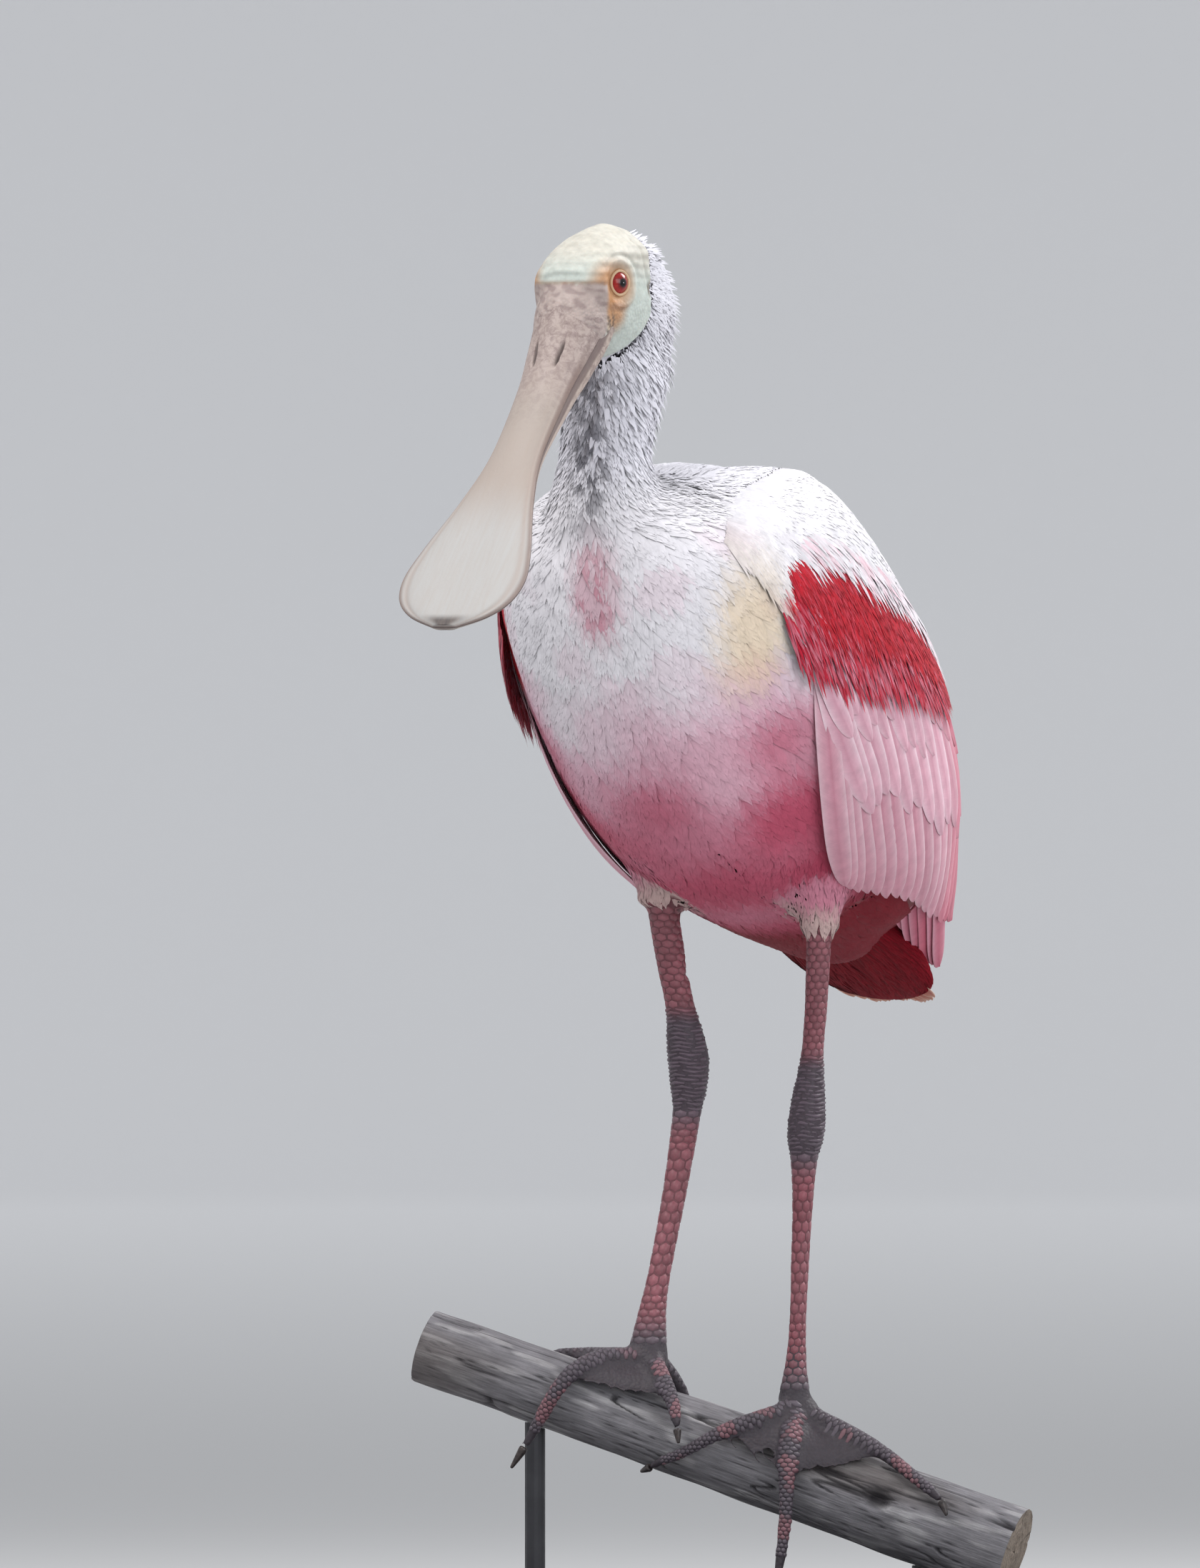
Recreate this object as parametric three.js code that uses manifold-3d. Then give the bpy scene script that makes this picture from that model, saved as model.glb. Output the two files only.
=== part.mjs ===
// A roseate spoonbill standing on a short cut length of branch, on a plain display stand.
// Millimetres. The bird faces -Y, its left side is +X, up is +Z, and the stand's underside is z = 0.

import * as THREE from 'three';
import { mergeVertices } from 'three/addons/utils/BufferGeometryUtils.js';
import Module from 'manifold-3d';

const wasm = await Module();
wasm.setup();

// Space between neighbouring pieces.
const GAP = 0.3;
const DEG = Math.PI / 180;

// The body: each row is one slanting section, as its back point (y, z), its belly point (y, z)
// and its half width. The rows run from the breast to the rump.
const BODY = [
  [-128, 496, -138, 484, 9],
  [-111, 504, -142, 467, 38],
  [-60, 516, -127, 422, 63],
  [-6, 507, -92, 373, 69],
  [46, 456, -38, 333, 71],
  [86, 402, 22, 310, 62],
  [112, 355, 74, 297, 39],
  [122, 334, 96, 292, 22],
];

// The folded wings' outer surface, in the same way, from the shoulder to the wing tips.
const WING = [
  [-92, 511, -138, 446, 50],
  [-60, 519, -127, 422, 66.5],
  [0, 516, -92, 373, 78.5],
  [60, 471, -38, 333, 82.5],
  [101, 415, 22, 310, 76],
  [131, 362, 74, 297, 56],
  [152, 326, 112, 287, 39],
  [166, 305, 136, 284, 28],
];

// The arm of a folded wing is a plate on that surface, from the shoulder back. Its columns are the
// angles of its upper and lower edges in degrees and its thickness.
const ARM = { from: 0.1, to: 0.56, top: 1.4, upper: [60, 38, 24, 18], lower: [84, 104, 114, 100],
  thick: [1.5, 5.5, 6, 2] };

// Rows of wing feathers. Roots and tips are guides of (place along the wing, angle in degrees) from
// the lowest feather to the one nearest the back, width is in mm, level is the height of the row,
// stack the step in height from each feather to the next, flare the lift of the lowest one's tip and
// sink how far the roots go down into the arm.
const FLIGHT = [
  { count: 4, level: -9.4, stack: 1.7, flare: 0, sink: -7, width: 14, bow: 4,
    roots: [[0.37, 110], [0.42, 103], [0.46, 96]],
    tips: [[0.7, 129], [0.87, 121], [0.985, 98]] },
  { count: 13, level: -2.2, stack: 0, flare: 8, sink: 3, width: 17, bow: 5,
    roots: [[0.2, 90], [0.27, 73], [0.36, 54], [0.42, 36], [0.45, 25]],
    tips: [[0.44, 145], [0.57, 131], [0.74, 109], [0.86, 66], [0.84, 15]] },
  { count: 12, level: 1.3, stack: 0, flare: 3, sink: 3, width: 15, bow: 4,
    roots: [[0.17, 86], [0.23, 69], [0.31, 52], [0.36, 37], [0.39, 27]],
    tips: [[0.3, 116], [0.4, 100], [0.53, 77], [0.61, 47], [0.6, 19]] },
];
const VANE_THICK = 0.7;
const VANE_STATIONS = [0, 0.16, 0.42, 0.68, 0.88, 1];

// The tail: its root and tip (y, z), half its spread at each, and the drop of its outer feathers.
const TAIL = { root: [84, 319], tip: [167, 279], spread: [9, 19], feathers: 12, width: 13, drop: 0.95 };
const TAIL_COVERTS = [
  [70, 316, 16, 12],
  [96, 304, 24, 10.5],
  [122, 292, 25, 8],
  [142, 283, 19, 5],
  [150, 281, 8, 2],
];

// The neck: centre (y, z), half width, half depth, from inside the breast to inside the head.
const NECK = [
  [-104, 466, 42, 34],
  [-113, 482, 35, 31],
  [-119, 499, 26, 26],
  [-119, 518, 21, 22.5],
  [-114, 536, 22, 27],
  [-106, 552, 23, 31],
  [-104, 566, 19, 29],
];

// The head: upright sections, as y, top z, bottom z and half width, from the nape to the bill.
const HEAD = [
  [-65, 584, 568, 3],
  [-68, 593, 560, 8],
  [-76, 603, 550, 14],
  [-92, 613, 543, 19.5],
  [-113, 619, 546, 21],
  [-132, 617, 556, 19.5],
  [-147, 608, 565, 19.8],
  [-153, 604, 577, 18],
  [-158, 598, 587, 11],
];
const HEAD_CUT = 548;

// The bill: the corner of the gape, the slope of the mouth line, and for each distance along it
// the half width and the thickness of the upper and of the lower mandible.
const GAPE = [-148, 574];
const BILL_PITCH = 48 * DEG;
const BILL = [
  [-10, 15.5, 18, 9],
  [4, 16, 16.5, 8.5],
  [22, 15, 11.5, 7],
  [43, 13.5, 7.5, 5.5],
  [79, 12.4, 5.6, 4.2],
  [106, 18, 4.8, 3.6],
  [133, 26.4, 4, 3],
  [150, 30, 3.6, 2.8],
  [163, 27.4, 3.2, 2.6],
  [172, 19, 2.8, 2.4],
  [178, 6, 2, 1.8],
];

// The eye's middle on the skin, its ball, its lid ring, and how far it turns forwards.
const EYE = { x: 17.6, y: -137, z: 592, ball: 6.6, sunk: 5.4, lid: 6, lidThick: 1.3, turn: 19 * DEG };

// Legs: rows of x, y, z, half width, half depth. Each leg's own lean follows its foot's place.
const LEGS = {
  left: {
    thigh: [[40, -8, 372, 17, 26], [41, 4, 346, 17, 21], [38, 10, 325, 13, 15], [37, 11, 310, 8.5, 9]],
    shank: [[37, 11, 316, 6.2, 6.6], [36, 11, 285, 5.6, 6], [34, 10, 255, 5.2, 5.8],
      [33, 9, 240, 7.4, 8.6], [32, 8, 222, 8.8, 10], [31.6, 7, 211, 6.6, 7.4]],
    tarsus: [[31.6, 7, 211, 6.4, 7.2], [31.5, 6, 192, 4.9, 5.8], [32, 2, 160, 4.2, 5.2],
      [33, -2, 133, 4, 5.2], [33, -4, 116, 5.6, 6.4], [33, -5, 104, 8.4, 8]],
  },
  right: {
    thigh: [[-40, -18, 380, 17, 26], [-39, -8, 354, 17, 21], [-37, -2, 336, 13, 15],
      [-36, -1, 321, 8.8, 9.6]],
    shank: [[-36, 0, 328, 7.4, 7.6], [-34, 5, 300, 7.2, 7.4], [-32, 11, 277, 6.8, 7.2],
      [-31, 14, 265, 8.6, 9.6], [-30, 16, 250, 9.6, 10.6], [-30, 14.5, 232, 7, 7.6]],
    tarsus: [[-30, 14.5, 232, 6.8, 7.4], [-30.4, 9, 212, 6.2, 6.4], [-31, 3, 192, 5.8, 6],
      [-31.6, -9, 160, 5.4, 5.8], [-32, -16, 140, 7, 7], [-32, -19, 124, 10, 8.6]],
  },
};

// The perch: a straight cut length. It points 14 degrees back from the bird's left and slopes down.
const PERCH = { ends: [-140, 140], turn: 14 * DEG, slope: -0.337, middle: [0, -12, 83], radius: [17, 20.5] };

// The toes, as distance along the perch, angle from its top towards the front in degrees, height
// above the bark and radius. The last two rows of each are its claw.
const HUBS = {
  left: [29, 0, 8],
  right: [-43, 0, 9],
};
const TOES = {
  left: {
    middle: [[29, 8, 8, 5.2], [32, 42, 6, 4.8], [36, 76, 5, 4.5], [40.5, 104, 7, 4.1], [44.5, 127, 14, 3.7],
      [47.5, 139, 24, 3.2], [49, 145, 32, 2.6], [51, 147, 40, 0.8]],
    outer: [[36, 6, 8, 5], [56, 15, 7, 4.5], [73, 25, 5.4, 4], [89, 42, 4.6, 3.6], [101, 53, 4, 3.2],
      [106, 59, 4, 2.6], [111, 72, 4, 0.8]],
    inner: [[25, 14, 8, 5], [16, 38, 6.4, 4.4], [5, 62, 4.8, 4], [-4, 86, 4, 3.4], [-11, 104, 3.6, 3.1],
      [-19, 122, 3.6, 2.9], [-23.5, 136, 4, 2.4], [-28, 150, 4.5, 0.8]],
    hind: [[32, -14, 7.5, 4.8], [37, -42, 5.4, 4], [41, -70, 4.4, 3.6], [44, -92, 4, 3],
      [46, -106, 4, 2.5], [48, -124, 5, 0.8]],
  },
  right: {
    middle: [[-46, 8, 8.5, 5.2], [-60, 24, 6.5, 4.8], [-69, 54, 5.2, 4.4], [-73, 86, 4.8, 4.1],
      [-76, 116, 4.6, 3.7], [-78, 136, 8, 3.2], [-79.5, 145, 14, 2.6], [-82, 152, 24, 0.8]],
    outer: [[-50, -8, 8, 5], [-64, -24, 6, 4.4], [-78, -40, 4.8, 4], [-90, -58, 4.4, 3.6], [-97, -78, 4, 3.1],
      [-100, -90, 4, 2.5], [-104, -106, 5, 0.8]],
    inner: [[-38, 14, 9, 5], [-29, 36, 7, 4.5], [-22, 55, 6.4, 4], [-17.5, 70, 7.4, 3.3],
      [-15, 80, 8.8, 2.4], [-12, 92, 9.8, 0.8]],
    hind: [[-38, -14, 8.5, 4.8], [-30, -40, 6, 4], [-24, -68, 4.6, 3.6], [-20, -90, 4, 3],
      [-18, -104, 4, 2.5], [-15, -122, 5, 0.8]],
  },
};
const WEB = { reach: 0.34, thick: 2.6 };

const STAND = { width: 300, depth: 240, thick: 12, corner: 36, rod: 4.5, rods: [-88, 96] };

// Geometry helpers

// A row of a table at t from 0 to 1, with every column a smooth curve through its values.
function row(table, t) {
  return table[0].map((_, column) => {
    const points = table.map((values, index) => new THREE.Vector2(index, values[column]));
    return new THREE.SplineCurve(points).getPoint(t).y;
  });
}

// A closed body through rings of equal count, each end closed by a fan round its middle.
function loft(rings) {
  const count = rings[0].length;
  const positions = rings.flat().flatMap((point) => point.toArray());
  const index = [];
  for (let ring = 0; ring < rings.length - 1; ring++) {
    for (let side = 0; side < count; side++) {
      const a = ring * count + side;
      const b = ring * count + (side + 1) % count;
      index.push(a, b, b + count, a, b + count, a + count);
    }
  }
  [0, rings.length - 1].forEach((ring, end) => {
    const middle = new THREE.Vector3();
    rings[ring].forEach((point) => middle.addScaledVector(point, 1 / count));
    const centre = positions.length / 3;
    positions.push(...middle.toArray());
    for (let side = 0; side < count; side++) {
      const a = ring * count + side;
      const b = ring * count + (side + 1) % count;
      index.push(...(end ? [a, b, centre] : [b, a, centre]));
    }
  });
  const geometry = new THREE.BufferGeometry();
  geometry.setAttribute('position', new THREE.Float32BufferAttribute(positions, 3));
  geometry.setIndex(index);
  return toSolid(geometry);
}

// A thin closed body between two sheets of points in rows, split into triangles alike on both.
function plate(top, under) {
  const [rows, columns] = [top.length, top[0].length];
  const positions = [...top.flat(), ...under.flat()].flatMap((point) => point.toArray());
  const lower = rows * columns;
  const at = (r, c) => r * columns + c;
  const index = [];
  for (let r = 0; r < rows - 1; r++) {
    for (let c = 0; c < columns - 1; c++) {
      const [a, b, far, d] = [at(r, c), at(r, c + 1), at(r + 1, c + 1), at(r + 1, c)];
      index.push(a, b, far, a, far, d);
      index.push(lower + a, lower + far, lower + b, lower + a, lower + d, lower + far);
    }
  }
  const count = (length) => Array.from({ length }, (_, step) => step);
  const rim = [
    ...count(columns - 1).map((c) => at(0, c)),
    ...count(rows - 1).map((r) => at(r, columns - 1)),
    ...count(columns - 1).map((c) => at(rows - 1, columns - 1 - c)),
    ...count(rows - 1).map((r) => at(rows - 1 - r, 0)),
  ];
  rim.forEach((a, step) => {
    const b = rim[(step + 1) % rim.length];
    index.push(b, a, lower + a, b, lower + a, lower + b);
  });
  const geometry = new THREE.BufferGeometry();
  geometry.setAttribute('position', new THREE.Float32BufferAttribute(positions, 3));
  geometry.setIndex(index);
  return toSolid(geometry);
}

// A manifold solid from a closed geometry, with its faces turned outwards.
function toSolid(geometry) {
  geometry.deleteAttribute('normal');
  geometry.deleteAttribute('uv');
  const merged = mergeVertices(geometry, 1e-4);
  const triVerts = Uint32Array.from(merged.index.array);
  const vertProperties = Float32Array.from(merged.attributes.position.array);
  const make = () => new wasm.Manifold(new wasm.Mesh({ numProp: 3, vertProperties, triVerts }));
  const made = make();
  if (made.volume() > 0) {
    return made;
  }
  for (let face = 0; face < triVerts.length; face += 3) {
    [triVerts[face], triVerts[face + 1]] = [triVerts[face + 1], triVerts[face]];
  }
  return make();
}

function largest(solid) {
  return solid.decompose().sort((a, b) => b.volume() - a.volume())[0];
}

function union(solids) {
  return solids.reduce((all, one) => all.add(one));
}

function box(min, max) {
  const size = new THREE.Vector3().subVectors(max, min);
  const geometry = new THREE.BoxGeometry(size.x, size.y, size.z);
  geometry.translate((min.x + max.x) / 2, (min.y + max.y) / 2, (min.z + max.z) / 2);
  return toSolid(geometry);
}

// A point of a form made of slanting sections: angle 0 is on the back, 90 degrees on the left side
// and 180 degrees on the belly, and height is measured outwards from the surface.
function formPoint(form, t, angle, height = 0) {
  const [backY, backZ, bellyY, bellyZ, half] = row(form, t);
  const middle = new THREE.Vector3(0, (backY + bellyY) / 2, (backZ + bellyZ) / 2);
  const up = new THREE.Vector3(0, (backY - bellyY) / 2, (backZ - bellyZ) / 2);
  const tall = up.length();
  const power = 2 / 2.25;
  const side = Math.sign(Math.sin(angle)) * Math.abs(Math.sin(angle)) ** power;
  const rise = Math.sign(Math.cos(angle)) * Math.abs(Math.cos(angle)) ** power;
  middle.x = side * (half + height);
  return middle.addScaledVector(up, rise * (1 + height / tall));
}

function formSolid(form, stations, sides, height = 0) {
  const rings = [];
  for (let station = 0; station <= stations; station++) {
    const ring = [];
    for (let side = 0; side < sides; side++) {
      ring.push(formPoint(form, station / stations, (2 * Math.PI * side) / sides, height));
    }
    rings.push(ring);
  }
  return loft(rings);
}

// A limb through rows of x, y, z, half width and half depth, with level sections.
function limb(table, stations, sides, grow = 0) {
  const rings = [];
  for (let station = 0; station <= stations; station++) {
    const [x, y, z, wide, deep] = row(table, station / stations);
    const ring = [];
    for (let side = 0; side < sides; side++) {
      const angle = (2 * Math.PI * side) / sides;
      const spoke = new THREE.Vector3(Math.cos(angle) * (wide + grow), Math.sin(angle) * (deep + grow), 0);
      ring.push(spoke.add(new THREE.Vector3(x, y, z)));
    }
    rings.push(ring);
  }
  return loft(rings);
}

const parts = new THREE.Group();

function addPart(name, solid, material) {
  const { vertProperties, triVerts } = solid.getMesh();
  const geometry = new THREE.BufferGeometry();
  geometry.setAttribute('position', new THREE.BufferAttribute(Float32Array.from(vertProperties), 3));
  geometry.setIndex(Array.from(triVerts));
  geometry.computeVertexNormals();
  const mesh = new THREE.Mesh(geometry, material);
  mesh.name = name;
  parts.add(mesh);
}

function finish(color, roughness, metalness = 0) {
  return new THREE.MeshStandardMaterial({ color, roughness, metalness });
}

const MATERIALS = {
  white: finish(0xe9e6ea, 0.85),
  pink: finish(0xdb9fae, 0.85),
  tail: finish(0xb0553f, 0.85),
  skin: finish(0xdfe3d4, 0.6),
  bill: finish(0xd3cabb, 0.5),
  eye: finish(0x8f1616, 0.15),
  leg: finish(0xa06069, 0.6),
  foot: finish(0x51484f, 0.6),
  claw: finish(0x1b181a, 0.4),
  wood: finish(0x85858a, 0.9),
  metal: finish(0x4a4a4c, 0.5, 0.2),
};

// Body, neck and head

// A form through upright sections given as y, top z, bottom z and half width.
function upright(table, stations, sides, grow = 0) {
  const rings = [];
  for (let station = 0; station <= stations; station++) {
    const [y, top, bottom, wide] = row(table, station / stations);
    const ring = [];
    for (let side = 0; side < sides; side++) {
      const angle = (2 * Math.PI * side) / sides;
      const rise = Math.sin(angle) * ((top - bottom) / 2 + grow);
      ring.push(new THREE.Vector3(Math.cos(angle) * (wide + grow), y, (top + bottom) / 2 + rise));
    }
    rings.push(ring);
  }
  return loft(rings);
}

function above(z, pitch = 0, y = 0) {
  const slab = new THREE.BoxGeometry(400, 400, 400);
  slab.translate(0, 0, 200);
  slab.rotateX(pitch);
  slab.translate(0, y, z);
  return toSolid(slab);
}

// The bill

const ALONG = new THREE.Vector3(0, -Math.cos(BILL_PITCH), -Math.sin(BILL_PITCH));
const OVER = new THREE.Vector3(0, -Math.sin(BILL_PITCH), Math.cos(BILL_PITCH));

// One mandible, side 1 above the mouth line and -1 below it, with grow added all round.
function mandible(side, grow = 0) {
  const rings = [];
  const stations = 12;
  const arc = 6;
  for (let station = 0; station <= stations; station++) {
    const [distance, wide, upper, lower] = row(BILL, station / stations);
    const thick = (side > 0 ? upper : lower) + grow;
    const ring = [];
    for (let step = 0; step <= arc; step++) {
      const angle = (Math.PI * step) / arc;
      const point = new THREE.Vector3((wide + grow) * Math.cos(angle), GAPE[0], GAPE[1]);
      point.addScaledVector(ALONG, distance + (station === stations ? grow : 0));
      ring.push(point.addScaledVector(OVER, side * (GAP / 2 - grow + (thick + grow) * Math.sin(angle))));
    }
    rings.push(ring);
  }
  return loft(rings);
}

// A slit nostril on each side of the culmen, cut into the upper mandible.
function nostril(side) {
  const cut = new THREE.SphereGeometry(1, 8, 6);
  cut.scale(1.1, 1.6, 6);
  cut.rotateX(BILL_PITCH - Math.PI / 2 + Math.PI);
  const place = new THREE.Vector3(side * 6.5, GAPE[0], GAPE[1]);
  place.addScaledVector(ALONG, 14).addScaledVector(OVER, 12);
  cut.translate(place.x, place.y, place.z);
  return toSolid(cut);
}

// Feathers

// Repeatable draws from 0 to 1.
let seed = 20;
function draw() {
  seed = (seed * 1103515245 + 12345) % 2147483648;
  return seed / 2147483648;
}

// Half of a vane's width at s from root to tip, as a share of its widest.
function vaneWidth(s) {
  const round = Math.max(0, (s - 0.7) / 0.3);
  return Math.min(1, 0.42 + 2 * s) * Math.sqrt(Math.max(0.04, 1 - round ** 2));
}

// One vane. At each s, path gives its middle, the normal of what it lies on, the way to its neighbour
// and how much it leans down under that neighbour.
function vane(path, width) {
  const top = [];
  const under = [];
  for (const s of VANE_STATIONS) {
    const { middle, normal, across, lean } = path(s);
    const half = (width / 2) * vaneWidth(s);
    const slant = across.clone().addScaledVector(normal, -lean);
    const edges = [-half, half].map((x) => middle.clone().addScaledVector(slant, x));
    const thick = VANE_THICK * (1 - 0.4 * s);
    top.push(edges);
    under.push(edges.map((point) => point.clone().addScaledVector(normal, -thick)));
  }
  return plate(top, under);
}

// Wings, side 1 on the left and -1 on the right

function wingPoint(side, t, angle, height) {
  return formPoint(WING, t, side * angle * DEG, height);
}

function wingNormal(side, t, angle) {
  const along = wingPoint(side, t + 0.01, angle, 0).sub(wingPoint(side, t - 0.01, angle, 0));
  const round = wingPoint(side, t, angle + 1, 0).sub(wingPoint(side, t, angle - 1, 0));
  return round.cross(along).normalize().multiplyScalar(side);
}

function arm(side) {
  const { from, to, top, upper, lower, thick } = ARM;
  const columns = upper.map((value, index) => [value, lower[index], thick[index]]);
  const stations = 7;
  const across = 6;
  const outer = [];
  const inner = [];
  for (let station = 0; station <= stations; station++) {
    const share = station / stations;
    const t = from + (to - from) * share;
    const [high, low, deep] = row(columns, share);
    const sink = 2 * share ** 2;
    const line = (under) => Array.from({ length: across + 1 }, (_, step) => {
      const edge = Math.min(1, (4 * step) / across, (4 * (across - step)) / across);
      const height = top - sink - 1.2 * (1 - edge) - (under ? Math.max(1, deep * (0.4 + 0.6 * edge)) : 0);
      return wingPoint(side, t, high + ((low - high) * step) / across, height);
    });
    outer.push(line(false));
    inner.push(line(true));
  }
  return plate(outer, inner);
}

function wingFeathers(side, { count, level, stack, flare, sink, width, bow, roots, tips }) {
  const vanes = [];
  const pathOf = (share, reach) => (s) => {
    const root = row(roots, share);
    const tip = row(tips, share);
    const t = root[0] + (tip[0] - root[0]) * reach * s;
    return [t, root[1] + (tip[1] - root[1]) * reach * s + bow * Math.sin(Math.PI * s)];
  };
  for (let feather = 0; feather < count; feather++) {
    const share = feather / (count - 1);
    const reach = 0.96 + 0.05 * draw();
    const wide = width * (0.95 + 0.1 * draw());
    const path = (s) => {
      const [t, angle] = pathOf(share, reach)(s);
      const rise = level + stack * feather + flare * (s * (1 - share)) ** 2;
      const sunk = sink * Math.max(0, 1 - s / VANE_STATIONS[1]);
      const here = wingPoint(side, t, angle, rise);
      const ahead = wingPoint(side, ...pathOf(share, reach)(s + 0.02), rise);
      const beside = wingPoint(side, ...pathOf(share + 1 / count, reach)(s), rise);
      const normal = wingNormal(side, t, angle);
      const across = ahead.sub(here).cross(normal).normalize().multiplyScalar(side);
      const spacing = Math.abs(beside.sub(here).dot(across));
      const half = (wide / 2) * vaneWidth(s);
      const bulge = (spacing * Math.max(0, 2 * half - spacing)) / (2 * row(WING, t)[4]);
      const shingled = Math.min(0.4, (VANE_THICK + 1.5 * GAP + bulge) / spacing);
      return { middle: here.addScaledVector(normal, -sunk), normal, across, lean: stack ? 0 : shingled };
    };
    vanes.push(vane(path, wide));
  }
  return vanes;
}

function wing(side) {
  const vanes = FLIGHT.flatMap((tier) => wingFeathers(side, tier));
  return union([arm(side), ...vanes]).intersect(halfSpace(side));
}

function halfSpace(side) {
  const [low, high] = side > 0 ? [GAP, 400] : [-400, -GAP];
  return box(new THREE.Vector3(low, -400, 0), new THREE.Vector3(high, 400, 800));
}

// Tail

function tailFeathers() {
  const { root, tip, spread, feathers, width, drop } = TAIL;
  const run = new THREE.Vector3(0, tip[0] - root[0], tip[1] - root[1]);
  const normal = new THREE.Vector3(0, -run.z, run.y).normalize();
  const vanes = [];
  for (let feather = 0; feather < feathers; feather++) {
    const place = (2 * feather) / (feathers - 1) - 1;
    const outward = Math.abs(place) * (feathers - 1) / 2;
    const reach = (0.99 + 0.02 * draw()) * (1 - 0.07 * place ** 2);
    const path = (s) => {
      const x = place * (spread[0] + (spread[1] - spread[0]) * s);
      const middle = new THREE.Vector3(x, root[0], root[1]).addScaledVector(run, s * reach);
      middle.addScaledVector(normal, -drop * outward - 2 * Math.sin(Math.PI * s) * place ** 2);
      return { middle, normal, across: new THREE.Vector3(Math.sign(place), 0, 0), lean: 0.06 };
    };
    vanes.push(vane(path, width));
  }
  return vanes;
}

function tailBase(grow = 0) {
  const table = TAIL_COVERTS.map(([y, z, wide, deep]) => [y, z + deep, z - deep, wide]);
  return upright(table, 8, 14, grow);
}

// Feet

// A tube through rows of x, y, z and radius, with its sections square to its run.
function tube(table, stations, sides, from = 0, to = 1) {
  const rings = [];
  const at = (t) => row(table, Math.min(1, Math.max(0, t)));
  for (let station = 0; station <= stations; station++) {
    const t = from + ((to - from) * station) / stations;
    const [x, y, z, radius] = at(t);
    const before = at(t - 0.02);
    const after = at(t + 0.02);
    const run = new THREE.Vector3(...after).sub(new THREE.Vector3(...before)).normalize();
    const turn = new THREE.Quaternion().setFromUnitVectors(new THREE.Vector3(0, 0, -1), run);
    const ring = [];
    for (let side = 0; side < sides; side++) {
      const angle = (2 * Math.PI * side) / sides;
      const spoke = new THREE.Vector3(Math.cos(angle), Math.sin(angle), 0).multiplyScalar(radius);
      ring.push(spoke.applyQuaternion(turn).add(new THREE.Vector3(x, y, z)));
    }
    rings.push(ring);
  }
  return loft(rings);
}

// The perch's own axes: along it, and square to it towards the front and upwards.
const perchRun = new THREE.Vector3(Math.cos(PERCH.turn), Math.sin(PERCH.turn), PERCH.slope).normalize();
const perchFront = new THREE.Vector3(Math.sin(PERCH.turn), -Math.cos(PERCH.turn), 0);
const perchUp = new THREE.Vector3().crossVectors(perchFront, perchRun);

function perchRadius(along) {
  const [small, large] = PERCH.radius;
  return small + (large - small) * THREE.MathUtils.clamp(0.5 + along / 200, 0, 1);
}

// A point on or off the perch's surface: distance along it, angle from its top towards the front
// in degrees, and height above its bark.
function perchPoint(along, angle, height = 0) {
  const radius = perchRadius(along) + height;
  return new THREE.Vector3(...PERCH.middle)
    .addScaledVector(perchRun, along)
    .addScaledVector(perchUp, radius * Math.cos(angle * DEG))
    .addScaledVector(perchFront, radius * Math.sin(angle * DEG));
}

function perchSolid(grow = 0) {
  const rings = [];
  const [start, end] = PERCH.ends;
  const stations = 10;
  for (let station = 0; station <= stations; station++) {
    const along = start + ((end - start) * station) / stations;
    const ring = [];
    for (let side = 0; side < 16; side++) {
      ring.push(perchPoint(along, (360 * side) / 16, grow + 0.5 * Math.sin(side * 2.1 + station * 0.7)));
    }
    rings.push(ring);
  }
  return loft(rings);
}

function toeTable(rows) {
  return rows.map(([along, angle, height, radius]) => [...perchPoint(along, angle, height), radius]);
}

// The web between two toes, as a plate between the first part of each.
function web(first, second) {
  const rings = [];
  const stations = 4;
  for (let station = 0; station <= stations; station++) {
    const t = (WEB.reach * station) / stations;
    const one = new THREE.Vector3(...row(first, t));
    const other = new THREE.Vector3(...row(second, t));
    const middle = one.clone().lerp(other, 0.5).addScaledVector(perchUp, -1.5);
    const lift = perchUp.clone().multiplyScalar(WEB.thick / 2);
    const top = [one, middle, other].map((point) => point.clone().add(lift));
    const under = [other, middle, one].map((point) => point.clone().sub(lift));
    rings.push([...top, ...under]);
  }
  return loft(rings);
}

function hub(place) {
  const ball = new THREE.SphereGeometry(1, 10, 7);
  ball.scale(9.5, 8.5, 8);
  ball.translate(...perchPoint(...place).toArray());
  return toSolid(ball);
}

function foot(name, tarsusGrown) {
  const toes = TOES[name];
  const tables = Object.fromEntries(Object.entries(toes).map(([toe, rows]) => [toe, toeTable(rows)]));
  const toTube = (table) => tube(table, 2 * table.length - 5, 6, 0, clawStart(table));
  const pieces = Object.values(tables).map(toTube);
  pieces.push(hub(HUBS[name]), web(tables.inner, tables.middle), web(tables.middle, tables.outer));
  return largest(union(pieces).subtract(perchSolid(GAP)).subtract(tarsusGrown));
}

function clawStart(table) {
  return (table.length - 2) / (table.length - 1);
}

function claw(rows) {
  const table = toeTable(rows);
  const start = clawStart(table);
  const [here, tip] = [row(table, start), row(table, 1)].map((values) => new THREE.Vector3(...values));
  const gap = ((1 - start) * GAP) / here.distanceTo(tip);
  return tube(table, 3, 6, start + gap, 1).subtract(perchSolid(GAP));
}

// Eyes

function eyeMiddle(side) {
  const { x, y, z, sunk, turn } = EYE;
  return new THREE.Vector3(side * (x - sunk * Math.cos(turn)), y + sunk * Math.sin(turn), z);
}

function eyeball(side, grow = 0) {
  const ball = new THREE.SphereGeometry(EYE.ball + grow, 12, 8);
  ball.translate(...eyeMiddle(side).toArray());
  return toSolid(ball);
}

function lidRing(side) {
  const ring = new THREE.TorusGeometry(EYE.lid, EYE.lidThick, 5, 12);
  ring.scale(1, 1.12, 1);
  ring.rotateX(Math.PI / 2);
  ring.rotateZ(side * (Math.PI / 2 - EYE.turn));
  ring.translate(side * (EYE.x - 0.6), EYE.y, EYE.z);
  return toSolid(ring);
}

// Stand

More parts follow.
